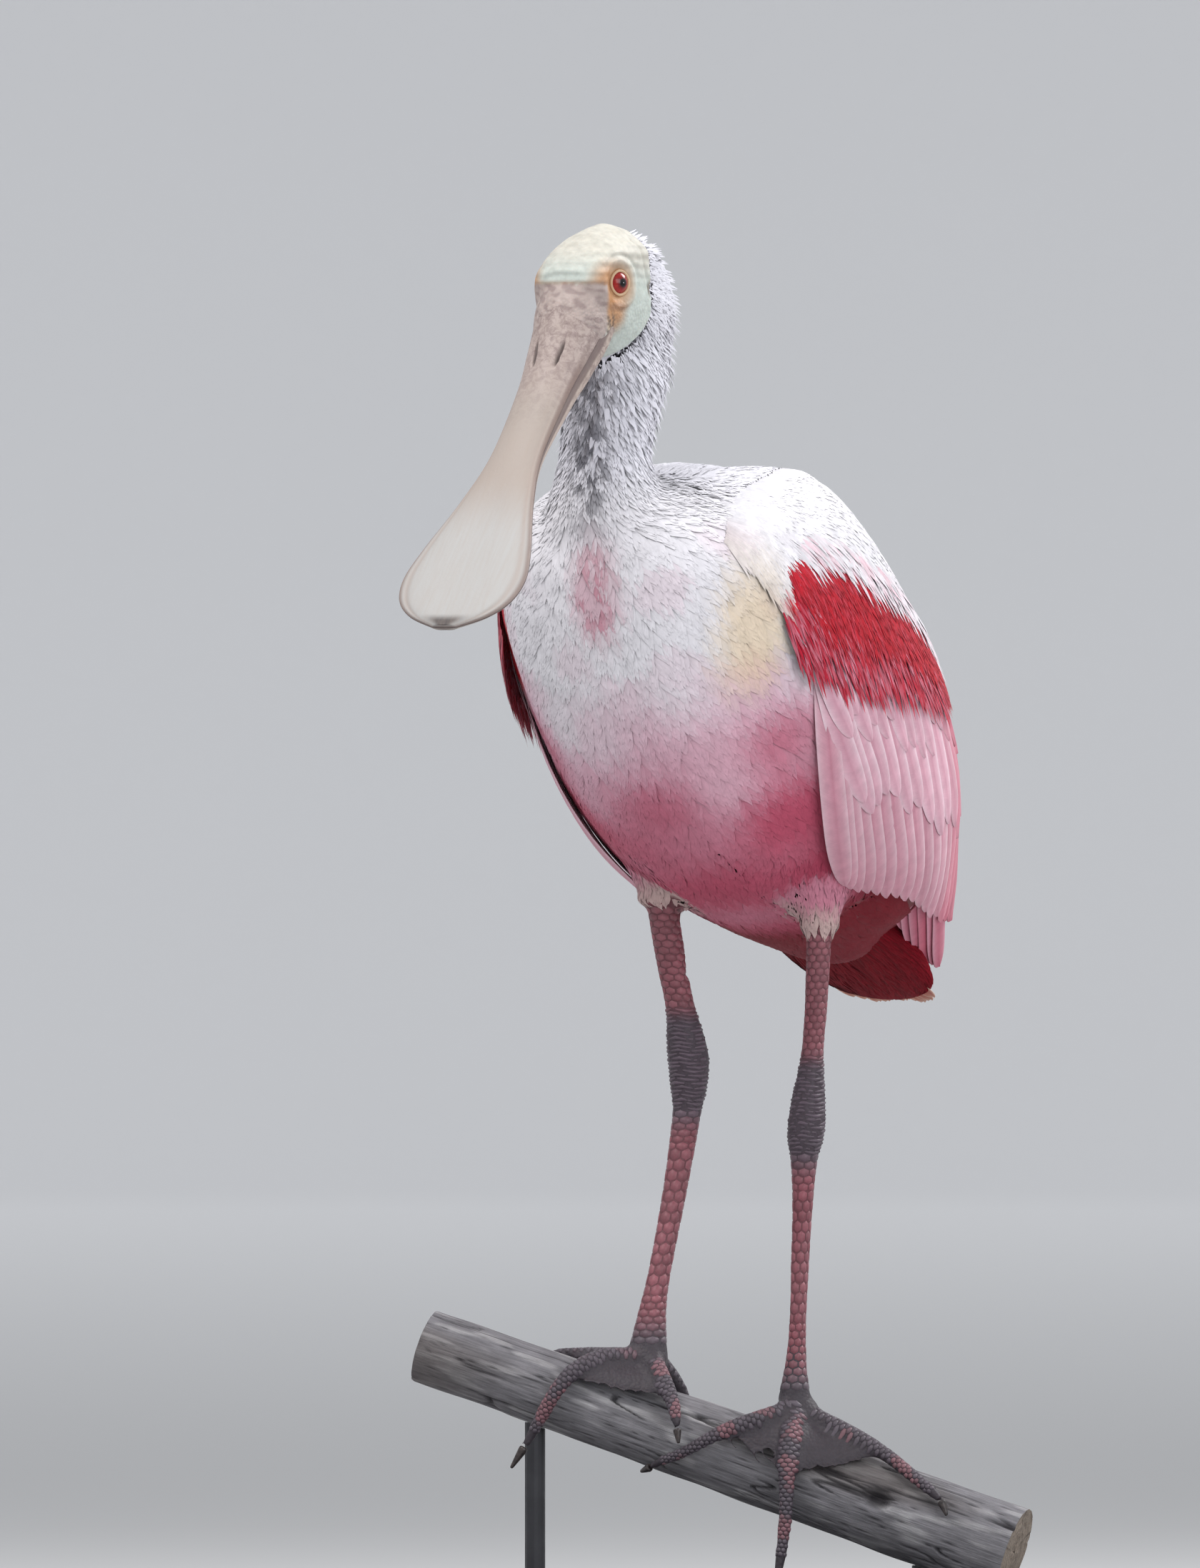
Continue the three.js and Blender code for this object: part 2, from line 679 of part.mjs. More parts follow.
function standBase() {
  const { width, depth, thick, corner } = STAND;
  const outline = new THREE.Shape();
  const [x, y] = [width / 2 - corner, depth / 2 - corner];
  outline.absarc(x, -y, corner, -Math.PI / 2, 0, false);
  outline.absarc(x, y, corner, 0, Math.PI / 2, false);
  outline.absarc(-x, y, corner, Math.PI / 2, Math.PI, false);
  outline.absarc(-x, -y, corner, Math.PI, 1.5 * Math.PI, false);
  const bevel = 1.5;
  const settings = { depth: thick - 2 * bevel, bevelThickness: bevel, bevelSize: bevel, bevelOffset: -bevel,
    bevelSegments: 1, curveSegments: 4 };
  const plate = new THREE.ExtrudeGeometry(outline, settings);
  plate.translate(0, 0, bevel);
  return toSolid(plate);
}

function standRod(along) {
  const top = perchPoint(along, 0, -perchRadius(along));
  const bottom = STAND.thick + GAP;
  const rod = new THREE.CylinderGeometry(STAND.rod, STAND.rod, top.z - bottom, 16);
  rod.rotateX(Math.PI / 2);
  rod.translate(top.x, top.y, (top.z + bottom) / 2);
  return toSolid(rod).subtract(perchSolid(GAP));
}

// Assembly

const torso = formSolid(BODY, 13, 24);
const torsoGrown = formSolid(BODY, 13, 24, GAP);
const tail = largest(union([tailBase(), ...tailFeathers()]).subtract(torsoGrown));
const tailGrown = tailBase(GAP);
const neckForm = limb(NECK.map(([y, z, wide, deep]) => [0, y, z, wide, deep]), 8, 16);

const eyes = [1, -1].map((side) => eyeball(side, GAP));
const lids = [1, -1].map(lidRing);
const head = union([upright(HEAD, 9, 16), neckForm.intersect(above(HEAD_CUT)), ...lids])
  .subtract(union([mandible(1, GAP), mandible(-1, GAP), ...eyes]))
  .intersect(above(HEAD_CUT));
const neck = neckForm.subtract(above(HEAD_CUT - GAP)).subtract(torsoGrown);
const billUpper = mandible(1).subtract(union([nostril(1), nostril(-1)]));

addPart('head', largest(head), MATERIALS.skin);
addPart('bill_upper', largest(billUpper), MATERIALS.bill);
addPart('bill_lower', mandible(-1), MATERIALS.bill);
addPart('neck', largest(neck), MATERIALS.white);
addPart('torso', torso, MATERIALS.white);
addPart('tail', tail, MATERIALS.tail);

for (const [name, side] of [['left', 1], ['right', -1]]) {
  const { thigh, shank, tarsus } = LEGS[name];
  const thighForm = limb(thigh, 5, 14);
  const thighGrown = limb(thigh, 5, 14, GAP);
  const shankForm = limb(shank, 8, 10);
  const tarsusForm = limb(tarsus, 8, 10);
  const folded = wing(side).subtract(union([torsoGrown, tailGrown, thighGrown]));
  addPart(`eye_${name}`, eyeball(side), MATERIALS.eye);
  addPart(`wing_${name}`, largest(folded), MATERIALS.pink);
  addPart(`thigh_${name}`, largest(thighForm.subtract(torsoGrown)), MATERIALS.pink);
  addPart(`shank_${name}`, largest(shankForm.subtract(thighGrown.add(torsoGrown))), MATERIALS.leg);
  addPart(`tarsus_${name}`, largest(tarsusForm.subtract(limb(shank, 8, 10, GAP))), MATERIALS.leg);
  addPart(`foot_${name}`, foot(name, limb(tarsus, 8, 10, GAP)), MATERIALS.foot);
  for (const [toe, rows] of Object.entries(TOES[name])) {
    addPart(`claw_${name}_${toe}`, largest(claw(rows)), MATERIALS.claw);
  }
}

addPart('perch_branch', perchSolid(), MATERIALS.wood);
addPart('stand_base', standBase(), MATERIALS.metal);
STAND.rods.forEach((along, index) => addPart(`stand_rod_${index + 1}`, standRod(along), MATERIALS.metal));

export default parts;
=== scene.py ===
# A roseate spoonbill on a cut length of branch: its looks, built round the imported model.
# Sizes are in millimetres and are turned into metres where the meshes are made.

import math

import bmesh
import bpy
import numpy as np
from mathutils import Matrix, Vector
from mathutils.bvhtree import BVHTree
from mathutils.kdtree import KDTree


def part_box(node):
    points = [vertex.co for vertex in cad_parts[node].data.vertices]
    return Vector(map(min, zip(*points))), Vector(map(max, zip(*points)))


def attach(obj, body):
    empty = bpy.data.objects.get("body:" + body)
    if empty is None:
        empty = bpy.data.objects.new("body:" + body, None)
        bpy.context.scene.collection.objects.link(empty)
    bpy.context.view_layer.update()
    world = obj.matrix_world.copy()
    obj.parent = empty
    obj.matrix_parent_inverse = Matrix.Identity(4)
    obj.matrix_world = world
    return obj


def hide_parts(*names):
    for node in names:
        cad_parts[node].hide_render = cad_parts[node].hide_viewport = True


MM = 0.001
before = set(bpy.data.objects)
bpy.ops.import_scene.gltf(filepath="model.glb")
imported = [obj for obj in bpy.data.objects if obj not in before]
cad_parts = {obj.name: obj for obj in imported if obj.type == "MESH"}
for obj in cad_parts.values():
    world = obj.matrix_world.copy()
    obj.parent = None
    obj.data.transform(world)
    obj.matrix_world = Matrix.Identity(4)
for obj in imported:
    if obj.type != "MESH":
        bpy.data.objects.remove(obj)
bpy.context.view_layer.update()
random = np.random.default_rng(11)

FLESH = ["head", "neck", "torso"]
FLESH += [f"{part}_{side}" for part in ("thigh", "shank", "tarsus", "foot") for side in ("left", "right")]
SIDES = {"left": 1, "right": -1}

# The eye's socket: the skin's height in front of the ball's middle, by distance from the eye's axis.
SOCKET = np.array([[0, 0.5], [4.4, 1.2], [6.0, 4.0], [8.5, 5.4], [13, 7]])

# Skin: the size of its mesh, the growth that closes the gaps between nodes, and the coat's depth.
SKIN_GRID = 1.55
SKIN_GROW = 0.35
COAT_DEPTH = {"body": 2.0, "neck": 3.0, "thigh": 1.6, "bare": 0.35}
ANKLE_Z = {"left": 313, "right": 325}

# The height that parts the bare skin of the face from that of the legs, and the scutes' highest place.
FACE_FROM = 400
SCUTES_TO = 335

# How many tufts lie over the body and round the tail's root, in full and in the quick views, and the
# share of the wings' tufts that is used.
TUFTS = {"body": (58000, 30000), "tail": (4400, 1500), "wing_share": (0.7, 0.35)}
PIECE_LIMIT = 190000

# The folded wings' outer surface: slanting sections as back point (y, z), belly point (y, z) and
# half width, from the shoulder to the wing tips.
WING = np.array([
    [-92, 511, -138, 446, 50],
    [-60, 519, -127, 422, 66.5],
    [0, 516, -92, 373, 78.5],
    [60, 471, -38, 333, 82.5],
    [101, 415, 22, 310, 76],
    [131, 362, 74, 297, 56],
    [152, 326, 112, 287, 39],
    [166, 305, 136, 284, 28],
], float)
FORM_POWER = 2 / 2.25

# The head's border between bare skin and feathers, and the eyes' turn towards the front.
BORDER = {"y": -111, "z": 585, "curve": 0.035}
EYE_TURN = math.radians(19)

# The bill: corner of the gape (y, z), slope of the mouth line, and for each distance along it the
# half width and the thickness of the upper and of the lower mandible.
GAPE = np.array([0, -148, 574], float)
BILL_PITCH = math.radians(48)
BILL_ALONG = np.array([0, -math.cos(BILL_PITCH), -math.sin(BILL_PITCH)])
BILL_OVER = np.array([0, -math.sin(BILL_PITCH), math.cos(BILL_PITCH)])
BILL = np.array([
    [-10, 15.5, 18, 9],
    [4, 16, 16.5, 8.5],
    [22, 14.4, 11.5, 7],
    [43, 12.4, 7.5, 5.5],
    [79, 12.4, 5.6, 4.2],
    [106, 18, 4.8, 3.6],
    [133, 26.4, 4, 3],
    [150, 30, 3.6, 2.8],
    [163, 27.4, 3.2, 2.6],
    [172, 19, 2.8, 2.4],
    [178, 6, 2, 1.8],
], float)
BILL_GAP = 0.15

# What the flesh adds round the bill's root, by distance along it.
BILL_ROOT = np.array([[-12, 2.4], [2, 2.2], [16, -0.6]])

# The tail: its root and tip (y, z), half its spread at each, and the drop of its outer feathers.
TAIL = {"root": (84, 319), "tip": (167, 279), "spread": (9, 19), "drop": 0.95}

# The branch: its ends along itself, its turn, slope and middle, and its radius, which grows from the
# first value to the second over its middle stretch.
PERCH = {"ends": (-140, 140), "turn": math.radians(14), "slope": -0.337, "middle": (0, -12, 83),
         "radius": (17, 20.5), "stretch": 200}

# Camera: what it looks at, its direction and distance, and its lens.
CAMERA = {"target": (-51.3, -27.3, 374), "azimuth": math.radians(28), "distance": 20000, "lens": 1048.9}


def srgb(red, green, blue):
    """A linear colour from the usual 0 to 255 values."""
    values = np.array([red, green, blue]) / 255
    return np.where(values <= 0.04045, values / 12.92, ((values + 0.055) / 1.055) ** 2.4)


WHITE = srgb(236, 233, 238)
# Lavender: a painted cool shade for the white neck and head.
LAVENDER_SHADE = srgb(226, 225, 236)
BLUSH = srgb(226, 190, 204)
PINK = srgb(207, 138, 158)
ROSE = srgb(188, 84, 108)
DEEP_ROSE = srgb(150, 40, 66)
CRIMSON = srgb(118, 2, 22)
RED = srgb(196, 2, 34)
BUFF = srgb(238, 214, 178)
SOOT = srgb(66, 64, 74)
TAN = srgb(200, 176, 170)
CREAM = srgb(198, 194, 183)
GREENISH = srgb(190, 197, 190)
OCHRE = srgb(182, 130, 84)
BILL_BASE = srgb(176, 160, 154)
LEG = srgb(134, 80, 88)
ANKLE = srgb(82, 76, 86)
FOOT = srgb(84, 76, 84)


# Formulas

def rows(table, t):
    """Rows of a table at t from 0 to 1, each column a smooth curve through its values."""
    last = len(table) - 1
    place = last * np.clip(t, 0, 1)
    low = np.minimum(np.floor(place).astype(int), last)
    share = (place - low)[..., None]
    before, here = table[np.maximum(low - 1, 0)], table[low]
    ahead, after = table[np.minimum(low + 1, last)], table[np.minimum(low + 2, last)]
    before = np.where((low == 0)[..., None], here, before)
    start, end = (ahead - before) / 2, (after - here) / 2
    cubic = (2 * here - 2 * ahead + start + end) * share ** 3
    square = (3 * ahead - 3 * here - 2 * start - end) * share ** 2
    return cubic + square + start * share + here


def unit(vectors):
    return vectors / np.maximum(np.linalg.norm(vectors, axis=-1, keepdims=True), 1e-9)


def smooth(low, high, values):
    share = np.clip((values - low) / (high - low), 0, 1)
    return share * share * (3 - 2 * share)


def turns(count):
    """Angles evenly round a circle."""
    return np.linspace(0, 2 * math.pi, count, endpoint=False)


def read_off(table, values):
    """A table's second column at values of its first."""
    return np.interp(values, table[:, 0], table[:, 1])


def nearest_on(tree, points):
    """The nearest places on the skin to points, and its normals there."""
    found = [tree.find_nearest(place) for place in points.reshape(-1, 3).tolist()]
    return [np.array([hit[part] for hit in found]).reshape(points.shape) for part in (0, 1)]


def near(points, centre, radii):
    """1 at the centre, falling smoothly to 0 outside an ellipsoid."""
    distance = np.linalg.norm((points - np.array(centre)) / np.array(radii), axis=-1)
    return 1 - smooth(0.35, 1.15, distance)


def mix(colour, other, share):
    return colour + (np.asarray(other) - colour) * np.asarray(share)[..., None]


def waves(points, size, seed):
    """Smooth noise from about -1 to 1 over points, with lumps of about this size."""
    source = np.random.default_rng(seed)
    total = np.zeros(points.shape[:-1])
    for _ in range(9):
        direction = unit(source.normal(size=3))
        stretch = source.uniform(0.7, 1.6)
        total += np.sin(points @ direction * (2 * math.pi * stretch / size) + source.uniform(0, 6.3))
    return total / 3


# Meshes

def put(name, data):
    """An object in the scene, from a mesh, a light or a camera."""
    made = bpy.data.objects.new(name, data)
    bpy.context.scene.collection.objects.link(made)
    return made


def make_piece(name, points, triangles, material, colours=None, uvs=None, shading=None, replaces=()):
    """A piece from points in mm, with a marking colour, UV maps and a shading normal at each point."""
    mesh = bpy.data.meshes.new(name)
    triangles = np.asarray(triangles, np.int32)
    mesh.vertices.add(len(points))
    mesh.vertices.foreach_set("co", (np.asarray(points) * MM).astype(np.float32).ravel())
    mesh.loops.add(triangles.size)
    mesh.loops.foreach_set("vertex_index", triangles.ravel())
    mesh.polygons.add(len(triangles))
    mesh.polygons.foreach_set("loop_start", np.arange(0, triangles.size, 3, dtype=np.int32))
    mesh.update(calc_edges=True)
    mesh.shade_smooth()
    if colours is not None:
        layer = mesh.color_attributes.new("marking", "FLOAT_COLOR", "POINT")
        layer.data.foreach_set("color", np.column_stack([colours, np.ones(len(colours))]).ravel())
    for label, values in (uvs or {}).items():
        layer = mesh.uv_layers.new(name=label)
        layer.uv.foreach_set("vector", values[triangles.ravel()].astype(np.float32).ravel())
    if shading is not None:
        mesh.normals_split_custom_set_from_vertices(shading)
    mesh.materials.append(material)
    piece = put(name, mesh)
    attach(piece, "root")
    if replaces:
        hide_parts(*replaces)
    return piece


def modified(mesh, kind, **settings):
    """A new mesh made from a mesh by one modifier. The old one is removed."""
    holder = put("holder", mesh)
    modifier = holder.modifiers.new("change", kind)
    for key, value in settings.items():
        setattr(modifier, key, value)
    evaluated = holder.evaluated_get(bpy.context.evaluated_depsgraph_get())
    result = bpy.data.meshes.new_from_object(evaluated)
    bpy.data.objects.remove(holder)
    bpy.data.meshes.remove(mesh)
    return result


def points_of(mesh):
    values = np.empty(len(mesh.vertices) * 3, np.float32)
    mesh.vertices.foreach_get("co", values)
    return values.reshape(-1, 3).astype(float) / MM


def triangles_of(mesh):
    mesh.calc_loop_triangles()
    values = np.empty(len(mesh.loop_triangles) * 3, np.int32)
    mesh.loop_triangles.foreach_get("vertices", values)
    return values.reshape(-1, 3)


def edges_of(mesh):
    values = np.empty(len(mesh.edges) * 2, np.int32)
    mesh.edges.foreach_get("vertices", values)
    return values.reshape(-1, 2)


def normals_of(points, triangles):
    corners = points[triangles]
    faces = np.cross(corners[:, 1] - corners[:, 0], corners[:, 2] - corners[:, 0])
    totals = [np.bincount(triangles.ravel(), np.repeat(faces[:, axis], 3), len(points)) for axis in range(3)]
    return unit(np.stack(totals, axis=1))


def relax(points, edges, share, rounds):
    """Moves each point towards its neighbours' middle by its share, in rounds."""
    own, other = edges.ravel(), edges[:, ::-1].ravel()
    count = np.maximum(np.bincount(own, minlength=len(points)), 1)[:, None]
    for _ in range(rounds):
        totals = [np.bincount(own, points[other, axis], len(points)) for axis in range(3)]
        points = points + share[:, None] * (np.stack(totals, axis=1) / count - points)
    return points


def sheet_triangles(row_count, column_count, closed=False, flip=False):
    """Triangles of a grid of points in rows, with the columns joined in a ring where closed."""
    wide = column_count if closed else column_count - 1
    line, step = np.meshgrid(np.arange(row_count - 1), np.arange(wide), indexing="ij")
    first = line * column_count + step
    second = line * column_count + (step + 1) % column_count
    quads = np.stack([first, second, second + column_count, first + column_count], axis=-1).reshape(-1, 4)
    triangles = np.concatenate([quads[:, [0, 1, 2]], quads[:, [0, 2, 3]]])
    return triangles[:, ::-1] if flip else triangles


# Materials

class Nodes:
    """A material's node tree, with short calls for the nodes used here."""

    def __init__(self, name, roughness=0.6, **settings):
        self.material = bpy.data.materials.new(name)
        self.material.use_nodes = True
        self.tree = self.material.node_tree
        self.shader = self.tree.nodes["Principled BSDF"]
        self.shader.inputs["Roughness"].default_value = roughness
        for socket, value in settings.items():
            self.shader.inputs[socket.replace("_", " ")].default_value = value

    def add(self, kind, inputs=None, **settings):
        node = self.tree.nodes.new(kind)
        for key, value in settings.items():
            setattr(node, key, value)
        for socket, value in (inputs or {}).items():
            self.set(node.inputs[socket], value)
        return node

    def set(self, socket, value):
        if isinstance(value, bpy.types.NodeSocket):
            self.tree.links.new(value, socket)
        elif isinstance(value, np.ndarray):
            socket.default_value = (*value, 1)
        else:
            socket.default_value = value

    def attribute(self, name):
        return self.add("ShaderNodeAttribute", attribute_name=name).outputs["Color"]

    def place(self):
        return self.add("ShaderNodeTexCoord").outputs["Object"]

    def uv(self, name):
        return self.add("ShaderNodeUVMap", uv_map=name).outputs["UV"]

    def scaled(self, vector, scale):
        return self.add("ShaderNodeMapping", {"Vector": vector, "Scale": scale}).outputs["Vector"]

    def noise(self, vector, size, detail=4.0, roughness=0.6, distortion=0.0):
        inputs = {"Vector": vector, "Scale": 1 / (size * MM), "Detail": detail, "Roughness": roughness,
                  "Distortion": distortion}
        return self.add("ShaderNodeTexNoise", inputs).outputs["Fac"]

    def spread(self, value, low, high, out_low=0.0, out_high=1.0):
        inputs = {"Value": value, "From Min": low, "From Max": high, "To Min": out_low, "To Max": out_high}
        return self.add("ShaderNodeMapRange", inputs).outputs["Result"]

    def math(self, operation, *values):
        node = self.add("ShaderNodeMath", operation=operation)
        for socket, value in zip(node.inputs, values):
            self.set(socket, value)
        return node.outputs[0]

    def blend(self, share, first, second, mode="MIX"):
        node = self.add("ShaderNodeMix", data_type="RGBA", blend_type=mode)
        self.set(node.inputs["Factor"], share)
        self.set(node.inputs[6], first)
        self.set(node.inputs[7], second)
        return node.outputs[2]

    def ramp(self, value, stops):
        node = self.add("ShaderNodeValToRGB", {"Fac": value})
        elements = node.color_ramp.elements
        while len(elements) < len(stops):
            elements.new(0.5)
        for element, (place, colour) in zip(elements, stops):
            element.position = place
            element.color = (*colour, 1)
        return node.outputs["Color"]

    def colour(self, value):
        self.set(self.shader.inputs["Base Color"], value)

    def toned(self, colour, tone):
        """Sets the colour, lighter and darker by a tone round 1."""
        grey = self.add("ShaderNodeCombineColor", {"Red": tone, "Green": tone, "Blue": tone})
        self.colour(self.blend(1.0, colour, grey.outputs["Color"], "MULTIPLY"))

    def bump(self, height, distance, strength):
        inputs = {"Height": height, "Distance": distance * MM, "Strength": strength}
        self.set(self.shader.inputs["Normal"], self.add("ShaderNodeBump", inputs).outputs["Normal"])


def feather_material(name, streak=1.0, shade=0.1, sheen=0.1):
    """Marking colour, varied in soft patches, with fine barbs along each tuft or vane."""
    nodes = Nodes(name, 0.75, Sheen_Weight=sheen, Sheen_Roughness=0.5,
                  Specular_IOR_Level=2 * sheen)
    place = nodes.place()
    soft = nodes.spread(nodes.noise(place, 6), 0.3, 0.75, 1 - shade, 1.06)
    barbs = nodes.noise(nodes.scaled(nodes.uv("Barbs"), (9 * MM, 1.2 * MM, 1 * MM)), 1, 3)
    fine = nodes.spread(barbs, 0.3, 0.7, 0.94, 1.03)
    nodes.toned(nodes.attribute("marking"), nodes.math("MULTIPLY", soft, fine))
    nodes.bump(barbs, 0.12, 0.6 * streak)
    return nodes.material


def skin_material():
    """Bare skin by its marking colour: wrinkled brow, grained cheeks and leathery legs."""
    nodes = Nodes("bare_skin", 0.55, Specular_IOR_Level=0.35, Subsurface_Weight=0.08,
                  Subsurface_Radius=(0.003, 0.0015, 0.001), Subsurface_Scale=1.0)
    place = nodes.place()
    mottle = nodes.spread(nodes.noise(place, 3.5, 6), 0.3, 0.7, 0.84, 1.1)
    nodes.toned(nodes.attribute("marking"), mottle)
    masks = nodes.add("ShaderNodeSeparateColor", {"Color": nodes.attribute("relief")})
    bent = nodes.noise(place, 14, 2)
    lines = nodes.add("ShaderNodeTexWave", {
        "Vector": place, "Scale": 1 / (14 * MM), "Distortion": 3.5, "Detail": 2.0, "Detail Scale": 0.6,
    }, wave_type="BANDS", bands_direction="Z")
    brow = nodes.math("MULTIPLY", lines.outputs["Fac"], masks.outputs["Red"])
    grain = nodes.add("ShaderNodeTexVoronoi", {"Vector": place, "Scale": 1 / (1.5 * MM)})
    pebble = nodes.math("MULTIPLY", grain.outputs["Distance"], masks.outputs["Green"])
    height = nodes.math("ADD", brow, nodes.math("MULTIPLY", pebble, -1.2))
    height = nodes.math("ADD", height, nodes.math("MULTIPLY", bent, 0.3))
    nodes.bump(height, 0.5, 0.8)
    return nodes.material


# Wing surface

def form_point(table, t, angle, height):
    """A point of a form of slanting sections: angle 0 is on the back and 90 degrees on the left."""
    t, angle, height = np.broadcast_arrays(t, np.radians(angle), height)
    values = rows(table, t)
    middle = (values[..., 0:2] + values[..., 2:4]) / 2
    up = (values[..., 0:2] - values[..., 2:4]) / 2
    tall = np.linalg.norm(up, axis=-1)
    across = np.sign(np.sin(angle)) * np.abs(np.sin(angle)) ** FORM_POWER
    rise = np.sign(np.cos(angle)) * np.abs(np.cos(angle)) ** FORM_POWER
    upright = middle + up * (rise * (1 + height / tall))[..., None]
    return np.concatenate([(across * (values[..., 4] + height))[..., None], upright], axis=-1)


def wing_point(side, t, angle, height):
    return form_point(WING, t, side * np.asarray(angle), height)


def wing_normal(side, t, angle):
    along = wing_point(side, t + 0.01, angle, 0) - wing_point(side, t - 0.01, angle, 0)
    round_it = wing_point(side, t, angle + 1, 0) - wing_point(side, t, angle - 1, 0)
    return unit(np.cross(round_it, along)) * side


def slab(top, under):
    """Points and triangles of a thin closed body between two grids of points."""
    line, wide = top.shape[:2]
    points = np.concatenate([top.reshape(-1, 3), under.reshape(-1, 3)])
    upper = sheet_triangles(line, wide)
    grid = np.arange(line * wide).reshape(line, wide)
    rim = np.concatenate([grid[0], grid[1:, -1], grid[-1, -2::-1], grid[-2:0:-1, 0]])
    ahead = np.roll(rim, -1)
    lower = rim + line * wide
    wall = np.concatenate([np.stack([ahead, rim, lower], 1), np.stack([ahead, lower, np.roll(lower, -1)], 1)])
    return points, np.concatenate([upper, upper[:, ::-1] + line * wide, wall])


# Skin

# The flesh under a folded wing: its stretch of the wing, its upper angle, its height and depth, and
# its lower edge as (place along the wing, angle).
PAD = {"t": (0.0, 0.8), "from": 14, "level": 0.2, "depth": 16,
       "to": np.array([[0.0, 104], [0.1, 114], [0.2, 122], [0.34, 136], [0.46, 152], [0.8, 162]])}


def shoulder_pad(side):
    """The flesh under a folded wing: it fills the hollow between the body and the wing's edge."""
    line, wide = 44, 48
    t = np.linspace(*PAD["t"], line)[:, None]
    low = read_off(PAD["to"], t)
    angle = PAD["from"] + (low - PAD["from"]) * np.linspace(0, 1, wide)[None]
    fall = smooth(0, 0.08, t - PAD["t"][0]) * smooth(0, 0.14, PAD["t"][1] - t)
    fall = fall * smooth(0, 12, angle - PAD["from"]) * smooth(0, 17, low - angle)
    flare = 0.8 * smooth(26, 8, low - angle) * smooth(0.24, 0.4, t)
    level = PAD["level"] + flare - 2.8 * smooth(0.24, 0.34, t) - PAD["depth"] * (1 - fall)
    top = wing_point(side, t, angle, level)
    under = wing_point(side, t, angle, level * 0 - PAD["depth"] - 6)
    points, triangles = slab(top, under)
    return points, triangles if side > 0 else triangles[:, ::-1]


def bill_root():
    """Flesh round the bill's root, so that the face runs into the bill without a step."""
    line, wide = 24, 64
    distance = np.linspace(BILL_ROOT[0, 0], BILL_ROOT[-1, 0], line)[:, None]
    place = np.interp(distance, BILL[:, 0], np.linspace(0, 1, len(BILL)))
    half, upper, lower = np.moveaxis(rows(BILL[:, 1:], place), -1, 0)
    angle = turns(wide)[None]
    grow = read_off(BILL_ROOT, distance)
    rise = np.sin(angle) * (np.where(np.sin(angle) > 0, upper, lower) + grow)
    points = GAPE + BILL_ALONG * distance[..., None] + BILL_OVER * rise[..., None]
    points[..., 0] = np.cos(angle) * (half + grow)
    ends = [points[0].mean(axis=0), points[-1].mean(axis=0)]
    flat = np.concatenate([points.reshape(-1, 3), ends])
    first = np.arange(wide)
    last = first + (line - 1) * wide
    caps = [np.stack([np.roll(first, -1), first, np.full(wide, len(flat) - 2)], 1),
            np.stack([last, np.roll(last, -1), np.full(wide, len(flat) - 1)], 1)]
    return flat, np.concatenate([sheet_triangles(line, wide, closed=True), *caps])


def joined_flesh():
    """One closed soup of the flesh nodes, each grown a little so that they touch."""
    bundle = bmesh.new()
    for name in FLESH:
        node = bmesh.new()
        node.from_mesh(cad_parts[name].data)
        bmesh.ops.remove_doubles(node, verts=node.verts, dist=0.01 * MM)
        node.normal_update()
        for vertex in node.verts:
            vertex.co += vertex.normal * (SKIN_GROW * MM)
        grown = bpy.data.meshes.new(name + "_grown")
        node.to_mesh(grown)
        node.free()
        bundle.from_mesh(grown)
        bpy.data.meshes.remove(grown)
    for points, triangles in (shoulder_pad(1), shoulder_pad(-1), bill_root()):
        pad = bpy.data.meshes.new("pad")
        pad.from_pydata((points * MM).tolist(), [], triangles.tolist())
        bundle.from_mesh(pad)
        bpy.data.meshes.remove(pad)
    mesh = bpy.data.meshes.new("flesh")
    bundle.to_mesh(mesh)
    bundle.free()
    return mesh


def is_bare(points):
    """1 on the face, the legs and the feet, 0 under the feathers."""
    x, y, z = points.T
    border = BORDER["y"] - BORDER["curve"] * np.maximum(0, BORDER["z"] - z) ** 2
    face = smooth(1.5, -1.5, y - border) * (z > 540) * (y > -200)
    ankle = np.where(x > 0, ANKLE_Z["left"], ANKLE_Z["right"])
    leg_y = np.where(x > 0, 10, -1)
    beside = (z < 290) + (np.hypot(np.abs(x) - 37, y - leg_y) < 14)
    leg = smooth(2, -2, z - ankle) * (beside > 0) * (y < 80)
    return np.clip(face + leg, 0, 1)


def neck_share(points):
    """1 on the neck and head, 0 on the body and the back's top."""
    behind = np.maximum(smooth(-72, -94, points[:, 1]), smooth(522, 532, points[:, 2]))
    return smooth(484, 508, points[:, 2]) * behind


def thigh_share(points, high, low):
    """0 over the upper height, rising to 1 at the lower one, on the two thighs only."""
    x, y, z = points.T
    return smooth(high, low, z) * (np.abs(x) > 18) * (y < 34)


def coat_depth(points):
    """How deep the feathers lie over the skin."""
    neck = neck_share(points)
    thigh = thigh_share(points, 352, 335)
    depth = COAT_DEPTH["body"] + (COAT_DEPTH["neck"] - COAT_DEPTH["body"]) * neck
    depth += (COAT_DEPTH["thigh"] - depth) * thigh
    return depth + (COAT_DEPTH["bare"] - depth) * is_bare(points)


def refine(mesh, share_of):
    """Splits the faces where share_of is high into four."""
    points = points_of(mesh)
    chosen = share_of(points) > 0.5
    work = bmesh.new()
    work.from_mesh(mesh)
    work.edges.ensure_lookup_table()
    edges = [edge for edge in work.edges if chosen[edge.verts[0].index] and chosen[edge.verts[1].index]]
    bmesh.ops.subdivide_edges(work, edges=edges, cuts=1, use_grid_fill=True)
    bmesh.ops.triangulate(work, faces=work.faces)
    work.to_mesh(mesh)
    work.free()


def eye_centre(side):
    low, high = (np.array(corner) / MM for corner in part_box("eye_left" if side > 0 else "eye_right"))
    return (low + high) / 2, (high - low).max() / 2


def eye_look(side):
    return np.array([side * math.cos(EYE_TURN), -math.sin(EYE_TURN), 0])


def eye_distances(points, middle, look):
    """How far points lie along an eye's look from its middle, and how far beside that line."""
    offset = points - middle
    along = offset @ look
    return along, np.linalg.norm(offset - along[:, None] * look, axis=1)


